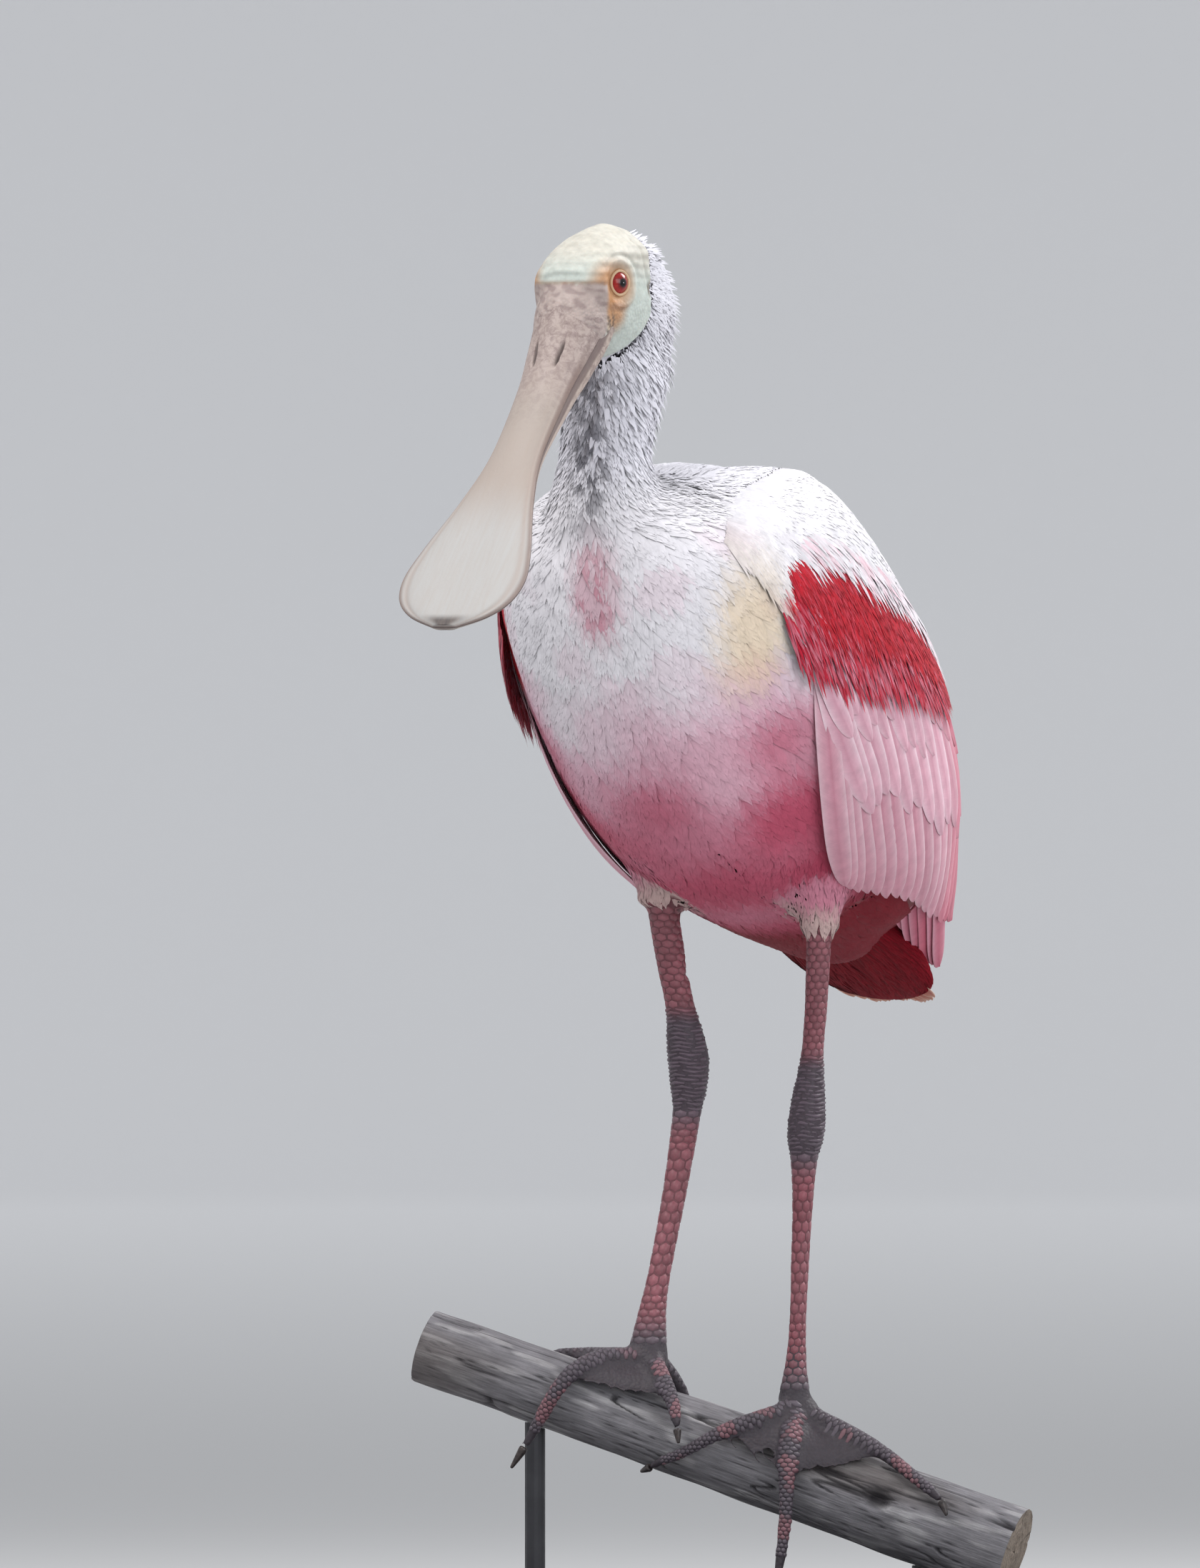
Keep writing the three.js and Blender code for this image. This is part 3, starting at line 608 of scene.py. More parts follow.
def sculpted(points, normals):
    """Adds the ring of skin round each eye, the cheek's fold, the ear's hollow and the sockets."""
    height = np.zeros(len(points))
    for side in SIDES.values():
        centre, radius = eye_centre(side)
        look = eye_look(side)
        along, ring = eye_distances(points, centre + look * (radius - 1), look)
        beside = (np.abs(along) < 9) * (points[:, 0] * side > 4)
        height += 0.7 * np.exp(-((ring - 9.5) / 2) ** 2) * beside
        height -= 0.6 * np.exp(-((ring - 12.2) / 1.2) ** 2) * beside
        fold = points[:, 1] - (-113 - 0.3 * (points[:, 2] - 585))
        height -= 0.9 * np.exp(-(fold / 1.4) ** 2) * smooth(560, 572, points[:, 2]) * beside
        height -= 1.2 * near(points, (side * 19, -113, 589), (4, 3, 4))
    points = points + normals * (height * is_bare(points))[:, None]
    for side in SIDES.values():
        centre, _ = eye_centre(side)
        look = eye_look(side)
        along, ring = eye_distances(points, centre, look)
        sunk = np.minimum(read_off(SOCKET, ring) - along, 0) * smooth(13, 8, ring) * (along > -2)
        points = points + look * sunk[:, None]
    return points


def skin_markings_and_shade(points):
    """Marking colours, with painted shade under the coat and in the ears' hollows, and relief masks (brow
    lines, grain) for the whole skin.
    """
    x, y, z = points.T
    # The skin under the feathers takes their colour, darkened a little as painted shade beneath the coat.
    colour = plumage(points) * 0.93
    bare = is_bare(points)
    face = np.broadcast_to(GREENISH, colour.shape)
    face = mix(face, CREAM, smooth(590, 606, z + 0.12 * (y + 130)))
    for side in SIDES.values():
        centre, _ = eye_centre(side)
        front = centre + eye_look(side) * 6
        face = mix(face, OCHRE, 0.95 * near(points, front + (0, -8, -2), (11, 18, 14)))
        face = mix(face, OCHRE, 0.85 * near(points, front + (-2 * side, -6, -13), (10, 11, 12)))
        face = mix(face, srgb(130, 100, 82), 0.6 * near(points, front + (0, -4, -10.5), (9, 10, 2.4)))
        face = mix(face, srgb(206, 168, 132), 0.8 * near(points, front, (6, 9.5, 9.5)))
        # A darker spot in the ear's hollow is painted shade.
        face = mix(face, srgb(120, 104, 92), 0.7 * near(points, (side * 19, -112, 590), (5, 3.2, 4.5)))
        corner = near(points, (side * 16, -146, 573), (8, 8, 8)) * smooth(-0.4, 0.5, waves(points, 3, 12))
        face = mix(face, srgb(84, 74, 66), 0.8 * corner)
    face = mix(face, srgb(120, 112, 110), 0.55 * smooth(560, 553, z))
    front = smooth(-146, -149, y + 0.12 * np.abs(x)) * smooth(592.6, 590.8, z + 0.5 * waves(points, 4, 8))
    base = mix(np.broadcast_to(BILL_BASE, colour.shape), srgb(118, 98, 98),
               0.5 * smooth(-0.1, 0.8, waves(points, 5, 9)))
    face = mix(face, base, front)
    face = mix(face, srgb(150, 118, 92), 0.6 * np.exp(-((z - 592) / 0.8) ** 2) * (y < -147))
    leg = np.broadcast_to(LEG, colour.shape)
    leg = mix(leg, srgb(128, 66, 76), 0.5 * smooth(0.1, 0.9, waves(points, 26, 3)))
    high, low = np.where(x > 0, 256, 276), np.where(x > 0, 207, 226)
    ankle = smooth(high + 4, high - 8, z) * smooth(low - 8, low + 6, z)
    leg = mix(leg, ANKLE, 0.9 * ankle)
    hub = np.where(x > 0, 112, 132)
    leg = mix(leg, FOOT, smooth(hub + 14, hub - 4, z))
    worn = smooth(hub, hub - 16, z) * smooth(0.15, 0.8, waves(points, 17, 5))
    leg = mix(leg, srgb(150, 96, 102), 0.5 * worn)
    own = np.where((z > FACE_FROM)[:, None], face, leg)
    colour = mix(colour, own, bare)
    brow = bare * smooth(586, 600, z)
    grain = bare * np.where(z > FACE_FROM, smooth(592, 575, z) * 0.8, 0.45)
    return colour, np.stack([brow, grain, 0 * bare], axis=1)


def build_skin():
    mesh = modified(joined_flesh(), "REMESH", mode="VOXEL", voxel_size=SKIN_GRID * MM)
    refine(mesh, lambda points: is_bare(points) * (points[:, 2] > FACE_FROM))
    points, triangles, edges = points_of(mesh), triangles_of(mesh), edges_of(mesh)
    bpy.data.meshes.remove(mesh)
    bare = is_bare(points)
    points = relax(points, edges, 0.5 * (1 - 0.97 * bare), 34)
    beside = np.abs(points[:, 0])
    shoulder = smooth(28, 40, beside) * smooth(-45, -80, points[:, 1]) * smooth(330, 360, points[:, 2])
    points = relax(points, edges, 0.5 * shoulder * smooth(528, 516, points[:, 2]), 90)
    points = relax(points, edges, 0.5 * bare * (points[:, 2] > FACE_FROM), 9)
    points = relax(points, edges, 0.5 * near(points, (0, -156, 582), (24, 15, 17)), 36)
    crown = 1 + 0.2 * np.exp(-((points[:, 2] - 608) / 8) ** 2)
    points = points * np.stack([crown, 0 * crown + 1, 0 * crown + 1], axis=1)
    points = relax(points, edges, 0.5 * bare * (points[:, 2] < FACE_FROM), 4)
    normals = normals_of(points, triangles)
    points = points - normals * (coat_depth(points) + SKIN_GROW)[:, None]
    points = relax(points, edges, np.full(len(points), 0.4), 1)
    points = sculpted(points, normals_of(points, triangles))
    colours, relief = skin_markings_and_shade(points)
    limbs = is_bare(points) * (points[:, 2] < FACE_FROM)
    colours = colours * (1 - 0.4 * limbs)[:, None]
    colours = mix(colours, FOOT * 0.5, limbs * smooth(140, 118, points[:, 2]))
    knee = np.where(points[:, 0] > 0, 317, 329)
    colours = mix(colours, TAN * 0.9, limbs * smooth(knee, knee + 3, points[:, 2]))
    skin = make_piece("skin", points, triangles, skin_material(), colours, replaces=FLESH)
    layer = skin.data.color_attributes.new("relief", "FLOAT_COLOR", "POINT")
    layer.data.foreach_set("color", np.column_stack([relief, np.ones(len(relief))]).ravel())
    return points, triangles


# Markings of the plumage, with the shade painted into them

def plumage(points):
    """The body feathers' colour at points of the skin or a little over it, with painted shade on the neck and
    low on the body.
    """
    x, y, z = points.T
    side = np.abs(x)
    mirrored = np.stack([side, y, z], axis=1)
    colour = np.broadcast_to(WHITE, points.shape).copy()
    # The neck and head take a painted lavender shade over their white.
    colour = mix(colour, LAVENDER_SHADE, 0.6 * smooth(495, 525, z))
    colour = mix(colour, BLUSH, 0.3 * smooth(0.1, 0.9, waves(points, 38, 14)) * smooth(500, 480, z))
    low = z + 0.34 * y + 7 * waves(points, 60, 1) - 34 * smooth(24, 62, side) * smooth(462, 425, z)
    # The pink deepens down the body. The deepest, darkest band low on the belly is partly the belly's own
    # colour and partly painted shade under the body.
    colour = mix(colour, BLUSH, smooth(388, 355, low))
    colour = mix(colour, PINK, smooth(372, 330, low))
    colour = mix(colour, ROSE, smooth(352, 312, low))
    colour = mix(colour, DEEP_ROSE, 0.9 * smooth(322, 280, low) * smooth(-90, 0, y))
    colour = mix(colour, DEEP_ROSE, 0.75 * near(mirrored, (46, -10, 362), (26, 30, 26)))
    colour = mix(colour, BLUSH, 0.6 * smooth(-20, 60, y) * smooth(430, 470, z))
    colour = mix(colour, BUFF, 0.75 * near(points, (54, -100, 450), (26, 24, 38)))
    far_wing = smooth(-52, -60, x) * smooth(-125, -110, y) * smooth(-20, -40, y)
    colour = mix(colour, RED, far_wing * smooth(482, 474, z) * smooth(418, 428, z))
    rose = near(points, (4, -136, 466), (13, 26, 30)) * (0.55 + 0.45 * smooth(-0.4, 0.6, waves(points, 9, 2)))
    colour = mix(colour, srgb(196, 112, 134), 0.75 * rose)
    streak = near(points, (3, -141, 520), (11, 14, 34)) * smooth(-0.6, 0.35, waves(points, 7, 4))
    streak = 0.85 * streak * smooth(-112, -124, y)
    chin = near(points, (0, -135, 550), (20, 20, 11)) * smooth(-0.8, 0.3, waves(points, 6, 6))
    colour = mix(colour, SOOT, np.clip(0.9 * streak + 0.6 * chin, 0, 0.92))
    # The dark crimson under the body's rear is partly the feathers' own crimson and partly painted shade
    # under the body.
    under = smooth(318, 300, z + 0.2 * y) * smooth(5, 32, y)
    colour = mix(colour, CRIMSON, 0.94 * np.maximum(under, smooth(12, 36, y) * smooth(374, 350, z)))
    thigh = smooth(356, 342, z) * smooth(22, 15, np.hypot(side - 38, y - np.where(x > 0, 6, -4)))
    colour = mix(colour, PINK, 0.85 * thigh)
    knee = np.where(x > 0, 320, 332)
    colour = mix(colour, TAN, 0.9 * thigh * smooth(knee + 8, knee - 4, z))
    return colour


# Tufts over the skin

# How far a tuft's shading turns towards its edges, and the size of its patch in the bake map.
ROUNDNESS = 0.2
BAKE_PATCH = 0.003


def scatter(points, triangles, density, count):
    """Random places on the mesh, as points and unit normals, with density as a weight."""
    corners = points[triangles]
    cross = np.cross(corners[:, 1] - corners[:, 0], corners[:, 2] - corners[:, 0])
    weight = np.linalg.norm(cross, axis=1) * density(corners.mean(axis=1))
    chosen = random.choice(len(triangles), count, p=weight / weight.sum())
    one, two = random.random((2, count))
    fold = one + two > 1
    one, two = np.where(fold, 1 - one, one), np.where(fold, 1 - two, two)
    corner = corners[chosen]
    place = corner[:, 0] + one[:, None] * (corner[:, 1] - corner[:, 0])
    return place + two[:, None] * (corner[:, 2] - corner[:, 0]), unit(cross[chosen])


def tuft_mesh(middles, normals, half, rise):
    """Closed tapering tufts. Middles and normals are (tufts, rows, 3), half and rise (tufts, rows).

    Each row but the last has a left edge, a ridge and a right edge, and the last is the tip."""
    count, row_count, _ = middles.shape
    ahead = unit(np.gradient(middles, axis=1))
    across = unit(np.cross(ahead, normals))
    left = middles - across * half[..., None]
    right = middles + across * half[..., None]
    ridge = middles + normals * rise[..., None]
    body = np.stack([left, ridge, right], axis=2)[:, :-1].reshape(count, -1, 3)
    points = np.concatenate([body, ridge[:, -1:]], axis=1)
    size = points.shape[1]
    triangles = []
    for line in range(row_count - 2):
        base = 3 * line
        for first, second in ((0, 1), (1, 2), (2, 0)):
            triangles.append([base + first, base + second, base + second + 3])
            triangles.append([base + first, base + second + 3, base + first + 3])
    base, tip = 3 * (row_count - 2), size - 1
    triangles += [[base, base + 1, tip], [base + 1, base + 2, tip], [base + 2, base, tip]]
    triangles = np.array(triangles)[None] + (np.arange(count) * size)[:, None, None]
    share = np.repeat(np.linspace(0, 1, row_count), 3)[:size]
    sides = np.tile([0.0, 0.5, 1.0], row_count)[:size]
    barbs = np.stack([sides, share], axis=1)[None] + random.random((count, 1, 2)) * 40
    leaning = [normals - across * ROUNDNESS, normals, normals + across * ROUNDNESS]
    shading = unit(np.stack(leaning, axis=2)).reshape(count, -1, 3)[:, :size]
    return points.reshape(-1, 3), triangles.reshape(-1, 3), barbs.reshape(-1, 2), shading.reshape(-1, 3)


def body_flow(points):
    """The way the body feathers lie, before it is laid along the skin."""
    x, y, z = points.T
    neck = neck_share(points)
    down = np.stack([0 * x, 0.12 + 0 * y, -1 + 0 * z], axis=1)
    back = np.stack([0.25 * np.sign(x) * smooth(0, 40, np.abs(x)), 0.7 + 0 * y, -0.72 + 0 * z], axis=1)
    flow = back + (down - back) * neck[:, None]
    nape = smooth(566, 590, z)
    flow = flow + (np.stack([0 * x, 0.8 + 0 * y, -0.6 + 0 * z], axis=1) - flow) * nape[:, None]
    thigh = thigh_share(points, 350, 338)
    flow = flow + (np.stack([0 * x, 0.1 + 0 * y, -1 + 0 * z], axis=1) - flow) * thigh[:, None]
    return unit(flow)


def tuft_size(points):
    """Length, half width and lift of the tufts rooted at points."""
    neck = neck_share(points)
    nape = smooth(556, 575, points[:, 2])
    thigh = thigh_share(points, 352, 338)
    length = 13 - 5.5 * neck - 2.8 * nape - 4.5 * thigh
    half = 1.65 - 0.65 * neck - 0.2 * nape - 0.6 * thigh
    lift = 0.5 * coat_depth(points) + 0.9 * neck
    return length, half, lift


def skin_unwrap(points, normals):
    """A place in 0 to 1 for each root: six views of the skin along its own axes, side by side."""
    low, high = points.min(axis=0), points.max(axis=0)
    share = (points - low) / (high - low)
    axis = np.abs(normals).argmax(axis=1)
    positive = np.take_along_axis(normals, axis[:, None], axis=1)[:, 0] > 0
    flat = np.choose(axis[:, None], [share[:, [1, 2]], share[:, [0, 2]], share[:, [0, 1]]])
    cell = axis * 2 + positive
    corner = np.stack([cell % 3, cell // 3], axis=1)
    return (corner + 0.03 + 0.94 * flat) / [3, 2]


def under_wings(places):
    """True for the places of the skin that the wings' feathers hide."""
    t, angle, side = np.meshgrid(np.linspace(0.33, 0.7, 24), np.linspace(28, 118, 60), [-1, 1])
    cover = np.concatenate([wing_point(way, t[side == way], angle[side == way], -2) for way in (-1, 1)])
    tree = KDTree(len(cover))
    for index, place in enumerate(cover.tolist()):
        tree.insert(place, index)
    tree.balance()
    return np.array([tree.find(place)[2] < 8 for place in places.tolist()])


def build_coat(tree, points, triangles):
    full, quick = TUFTS["body"]
    count = full

    def density(places):
        x, _, z = places.T
        neck = neck_share(places)
        inside = (np.abs(x) < 10) * (z < 300)
        inside = np.where(inside, 0.6, 1) * np.where(under_wings(places), 0.02, 1)
        return (1 - is_bare(places)) * (1 + 1.3 * neck) * inside

    roots, normals = scatter(points, triangles, density, count)
    roots = roots[np.argsort(roots[:, 2])]
    _, normals = nearest_on(tree, roots)
    length, half, lift = tuft_size(roots)
    length = length * random.uniform(0.75, 1.2, count)
    guide = clump_pull(roots, 6.5)
    middles, ups = [roots], [normals]
    steps = 3
    for _ in range(steps):
        way = body_flow(middles[-1]) + guide * 0.3
        way = way + random.normal(size=(count, 3)) * 0.06
        way = unit(way - (way * ups[-1]).sum(axis=1, keepdims=True) * ups[-1])
        target = middles[-1] + way * (length / steps)[:, None]
        place, up = nearest_on(tree, target)
        middles.append(place)
        ups.append(up)
    middles, ups = np.stack(middles, axis=1), np.stack(ups, axis=1)
    share = np.linspace(0, 1, steps + 1)
    stray = 1 + 1.2 * (random.random(count) < 0.05) * smooth(500, 540, roots[:, 2])
    high = np.outer(lift * stray * random.uniform(0.82, 1.0, count), share ** 0.8) - 0.5 * (1 - share)
    middles = middles + ups * high[..., None]
    widths = np.outer(half * random.uniform(0.75, 1.3, count), [0.7, 1.0, 0.8, 0])
    verts, faces, barbs, shading = tuft_mesh(middles, ups, widths, widths * 0.14)
    size = len(verts) // count
    colours = np.repeat(plumage(roots + ups[:, 0] * 2), size, axis=0)
    # The rows near each tuft's root are a little darker: painted shade under the tufts above.
    shade = row_shades([0.97, 0.99, 1.0, 1.0], size, count)
    colours = colours * shade[:, None] * np.repeat(random.uniform(0.96, 1.03, count), size)[:, None]
    bake = patches(skin_unwrap(roots, normals), size)
    split_pieces("coat", verts, faces, feather_material("body_feathers", sheen=0.05), colours,
                 {"Barbs": barbs, "OFBake": bake}, shading, size)


def row_shades(tones, size, count):
    """A tone for each point of each tuft, given for its rows from the root to the tip: a darker root is
    painted shade where the tufts overlap.
    """
    return np.tile(np.repeat(tones, 3)[:size], count)


def clump_pull(roots, spacing):
    """For each root, the way towards the axis of the feather that it belongs to."""
    jitter = np.random.default_rng(5)
    chosen = roots[jitter.choice(len(roots), max(200, len(roots) // 14), replace=False)]
    tree = KDTree(len(chosen))
    for index, place in enumerate(chosen):
        tree.insert(place, index)
    tree.balance()
    nearest = np.array([tree.find(root)[1] for root in roots])
    return (chosen[nearest] - roots) / spacing


def patches(places, size):
    """Each tuft's corners spread over a small patch of the unwrap round its root's place."""
    spread = np.stack([np.linspace(0, 1, size), np.tile([0.0, 0.5, 1.0], size)[:size]], axis=1) - 0.5
    return (places[:, None] + spread[None] * BAKE_PATCH).reshape(-1, 2)


def split_pieces(name, verts, faces, material, colours, uvs, shading, size):
    """Makes a coat as pieces under a number of triangles each, without cutting a tuft in two."""
    per_tuft = len(faces) * size // len(verts)
    tufts = PIECE_LIMIT // per_tuft
    for piece, start in enumerate(range(0, len(verts) // size, tufts)):
        points = slice(start * size, (start + tufts) * size)
        part = faces[start * per_tuft:(start + tufts) * per_tuft] - start * size
        chosen = {label: values[points] for label, values in uvs.items()}
        made = make_piece(f"{name}_{piece + 1}", verts[points], part, material, colours[points], chosen,
                          shading[points])


# Wings

# The wing's arm: its stretch of the wing, its height, and its upper and lower angle along it.
ARM = {"from": 0.1, "to": 0.56, "top": -0.3,
       "edges": np.array([[60, 104], [38, 109], [24, 98], [18, 70]], float)}

# Tiers of wing feathers. Roots and tips are guides of (place along the wing, angle in degrees) from
# the lowest feather to the one nearest the back.
TIERS = {
    "primaries": {
        "count": 7, "level": -9.4, "stack": 0.95, "flare": 0, "sink": 1, "width": 10.5, "bow": 4,
        "roots": [[0.37, 110], [0.42, 103], [0.46, 96]],
        "tips": [[0.7, 129], [0.87, 121], [0.985, 98]],
        "colour": srgb(186, 92, 116), "edge": srgb(214, 156, 172), "tip": srgb(176, 66, 94)},
    "secondaries": {
        "count": 25, "level": -2.4, "stack": 0, "flare": 2.2, "sink": 3, "width": 11.5, "bow": 5,
        "roots": [[0.25, 96], [0.3, 76], [0.36, 54], [0.42, 36], [0.45, 25]],
        "tips": [[0.52, 143], [0.6, 130], [0.74, 109], [0.86, 66], [0.84, 15]],
        "colour": srgb(208, 150, 166), "edge": srgb(230, 196, 206), "tip": srgb(208, 146, 162)},
    "long_coverts": {
        "count": 21, "level": -1.5, "stack": 0, "flare": 1.6, "sink": 3, "width": 12, "bow": 4,
        "uneven": 0.16,
        "roots": [[0.23, 94], [0.28, 73], [0.34, 53], [0.39, 36], [0.42, 26]],
        "tips": [[0.45, 122], [0.52, 111], [0.63, 91], [0.71, 57], [0.7, 18]],
        "colour": srgb(214, 162, 178), "edge": srgb(236, 210, 219), "tip": srgb(218, 172, 186)},
    "coverts": {
        "count": 26, "level": -0.6, "stack": 0, "flare": 1.2, "sink": 3, "width": 9.5, "bow": 4,
        "uneven": 0.22,
        "roots": [[0.21, 91], [0.26, 71], [0.31, 52], [0.36, 37], [0.39, 27]],
        "tips": [[0.37, 112], [0.44, 100], [0.53, 80], [0.61, 47], [0.6, 19]],
        "colour": srgb(214, 164, 180), "edge": srgb(234, 208, 217), "tip": srgb(214, 164, 178)},
}

# Where the breast's feathers lie over the wing's front edge, as (place along the wing, angle).
FRONT_LINE = np.array([[0.02, 84], [0.1, 90], [0.2, 100], [0.28, 108], [0.34, 115], [0.4, 124],
                       [0.48, 134], [0.62, 141]])

# The red patch: its upper edge and the ragged lower one, as (place along the wing, angle).
RED_TOP = np.array([[0.165, 90], [0.2, 81], [0.3, 77], [0.43, 61], [0.5, 52]])
RED_LOW = np.array([[0.165, 96], [0.24, 104], [0.3, 99], [0.42, 79], [0.5, 62]])

# The upper edge of the shoulder's tufts, as (place along the wing, angle).
SHOULDER_TOP = np.array([[0.07, 62], [0.25, 36], [0.41, 22], [0.56, 15]])

# The wing's tufts: how many, from and to (place along the wing), their way as (place, angle), length,
# half width, and their root's and tip's height over the wing's surface.
WING_TUFTS = {
    "shoulder": {"count": 5600, "t": (0.05, 0.22), "way": (0.04, 5), "length": 14, "half": 0.9,
                 "level": -0.9, "lift": 2.2},
    "back_edge": {"count": 2600, "t": (0.2, 0.56), "way": (0.06, 3), "length": 18, "half": 1.0,
                  "level": -1.4, "lift": 2.4},
    "white": {"count": 4200, "t": (0.18, 0.54), "way": (0.06, 3.5), "length": 17, "half": 1.0,
              "level": 0.1, "lift": 1.4},
    "red": {"count": 5600, "t": (0.165, 0.5), "way": (0.05, 7.5), "length": 18, "half": 0.7,
            "level": 0.5, "lift": 1.8},
    "red_edge": {"count": 1100, "t": (0.19, 0.48), "way": (0.05, 7.5), "length": 17, "half": 0.6,
                 "level": 0.7, "lift": 1.6},
    "streaks": {"count": 420, "t": (0.18, 0.48), "way": (0.05, 7), "length": 18, "half": 0.9,
                "level": 1.2, "lift": 1.8},
}


def build_arm(side, name, material):
    """The wing's arm under its feathers."""
    share = np.linspace(0, 1, 40)[:, None]
    edges = rows(ARM["edges"], share[:, 0])
    t = ARM["from"] + (ARM["to"] - ARM["from"]) * share
    step = np.linspace(0, 1, 40)[None]
    angle = edges[:, :1] + (edges[:, 1:] - edges[:, :1]) * step
    edge = np.minimum(1, np.minimum(6 * step, 6 * (1 - step)))
    dive = 12 * np.maximum(0, 1 - share / 0.3) ** 1.5
    height = ARM["top"] - dive - 4.5 * share ** 2 - 1.4 * (1 - edge) - 3.2 * smooth(82, 91, angle)
    top = wing_point(side, t, angle, height)
    under = wing_point(side, t, angle, height - 1.2)
    points, triangles = slab(top, under)
    triangles = triangles if side > 0 else triangles[:, ::-1]
    # The arm's colour is darkened a little as painted shade under the feathers.
    colours = np.tile(wing_colour(t, angle).reshape(-1, 3), (2, 1)) * 0.9
    made = make_piece(f"arm_{name}", points, triangles, material, colours,
                      {"Barbs": points[:, :2] * 0.2}, replaces=[f"wing_{name}"])


def red_share(t, angle):
    """1 inside the red patch, 0 outside it."""
    top, low, soft = read_off(RED_TOP, t), read_off(RED_LOW, t), 5.0
    inside = smooth(top - soft, top + soft * 0.4, angle) * smooth(low + soft, low - soft, angle)
    return inside * smooth(0.155, 0.18, t) * smooth(0.53, 0.5, t)


def wing_colour(t, angle):
    """The ground colour of the small feathers over the wing."""
    t, angle = np.broadcast_arrays(t, angle)
    top = read_off(RED_TOP, t)
    colour = np.broadcast_to(WHITE, (*t.shape, 3))
    colour = mix(colour, srgb(232, 208, 218), smooth(0.3, 0.55, t))
    colour = mix(colour, srgb(214, 160, 178), smooth(top + 2, top + 20, angle))
    return mix(colour, RED, red_share(t, angle))


def vane_width(share):
    """The share of a vane's full width, from its root at 0 to its rounded tip at 1."""
    round_tip = np.maximum(0, (share - 0.72) / 0.28)
    return np.minimum(1, 0.42 + 2 * share) * np.sqrt(np.maximum(0.02, 1 - round_tip ** 2))


VANE_ROWS = 16
VANE_COLUMNS = 9
VANE_ROUNDNESS = 0.22
VANE_THICK = 0.4
VANE_CAMBER = 0.4


def vane_set(middle, normal, across, half, lean):
    """Vanes as closed thin bodies. Middle, normal and across are (vanes, rows, 3)."""
    count, line, _ = middle.shape
    x = np.linspace(-1, 1, VANE_COLUMNS)
    ripple = 1 + 0.05 * np.sin(np.linspace(0, 9, line)[None] + random.uniform(0, 6, (count, 1)))
    reach = x[None, None] * (half * ripple)[..., None]
    shaft = np.exp(-(x / 0.1) ** 2) * 0.22
    height = VANE_CAMBER * (1 - x ** 2)[None, None] - reach * lean[..., None] + shaft
    top = middle[:, :, None] + across[:, :, None] * reach[..., None] + normal[:, :, None] * height[..., None]
    under = top - normal[:, :, None] * VANE_THICK
    points, triangles = [], []
    ahead = middle[:, line // 2 + 1] - middle[:, line // 2]
    facing = (np.cross(across[:, line // 2], ahead) * normal[:, line // 2]).sum(axis=1)
    for vane in range(count):
        own, faces = slab(top[vane], under[vane])
        faces = faces if facing[vane] > 0 else faces[:, ::-1]
        triangles.append(faces + vane * len(own))
        points.append(own)
    share = np.linspace(0, 1, line)[:, None] + 0 * x[None]
    side = x[None] + 0 * share
    length = np.linalg.norm(middle[:, -1] - middle[:, 0], axis=1)[:, None, None]
    barb = (share[None] * length + 0.8 * np.abs(reach)) / 4.2 + random.random((count, 1, 1)) * 20
    barbs = np.stack([barb, side[None] * 0.4 + 0 * barb], axis=-1).reshape(count, -1, 2)
    wide = math.ceil(math.sqrt(count))
    cell = np.stack([np.arange(count) % wide, np.arange(count) // wide], axis=1)[:, None, None]
    inside = np.stack([side / 2 + 0.5, share], axis=-1)[None] * 0.9 + 0.05
    bake = ((cell + inside) / wide).reshape(count, -1, 2)
    uvs = {"Barbs": barbs, "OFBake": bake}
    uvs = {label: np.concatenate([value, value], axis=1).reshape(-1, 2) for label, value in uvs.items()}
    turned = unit(normal[:, :, None] + across[:, :, None] * (x * VANE_ROUNDNESS)[None, None, :, None])
    shading = np.concatenate([turned.reshape(count, -1, 3), -turned.reshape(count, -1, 3)], axis=1)
    points, triangles = np.concatenate(points), np.concatenate(triangles)
    shading = unit(normals_of(points, triangles) + 0.5 * shading.reshape(-1, 3))
    return points, triangles, uvs, shading, share, side


def both_faces(colours):
    """The colours of a set of vanes for their upper faces and again for their under faces."""
    return np.concatenate([colours.reshape(len(colours), -1, 3)] * 2, axis=1).reshape(-1, 3)


def tier_vanes(side, tier):
    """The vanes of one tier of a wing, spread between the guides of its roots and tips."""
    count = tier["count"]
    roots, tips = np.array(tier["roots"], float), np.array(tier["tips"], float)
    share = np.arange(count)[:, None] / (count - 1)
    reach = random.uniform(0.97, 1.0, (count, 1)) - tier.get("uneven", 0) * random.random((count, 1))
    s = (1 - (1 - np.linspace(0, 1, VANE_ROWS)) ** 1.35)[None]

    def path(place, along):
        start, end = rows(roots, place), rows(tips, place)
        t = start[..., 0] + (end[..., 0] - start[..., 0]) * reach * along
        angle = start[..., 1] + (end[..., 1] - start[..., 1]) * reach * along
        return t, angle + tier["bow"] * np.sin(math.pi * along)

    rise = tier["level"] + tier["stack"] * np.arange(count)[:, None] + tier["flare"] * (s * (1 - share)) ** 2
    rise = rise + random.uniform(-0.25, 0.25, (count, 1))
    t, angle = path(share, s)
    here = wing_point(side, t, angle, rise)
    ahead = wing_point(side, *path(share, s + 0.02), rise)
    beside = wing_point(side, *path(np.minimum(share + 1 / count, 1.2), s), rise)
    normal = wing_normal(side, t, angle)
    across = unit(np.cross(ahead - here, normal)) * side
    spacing = np.maximum(np.abs(((beside - here) * across).sum(axis=-1)), 2.0)
    half = tier["width"] * random.uniform(0.95, 1.05, (count, 1)) / 2 * vane_width(s)
    lean = np.minimum(0.25, 0.6 / spacing) if not tier["stack"] else 0 * spacing
    sunk = tier["sink"] * np.maximum(0, 1 - s / 0.16)
    middle = here - normal * sunk[..., None]
    return vane_set(middle, normal, across, half, lean)


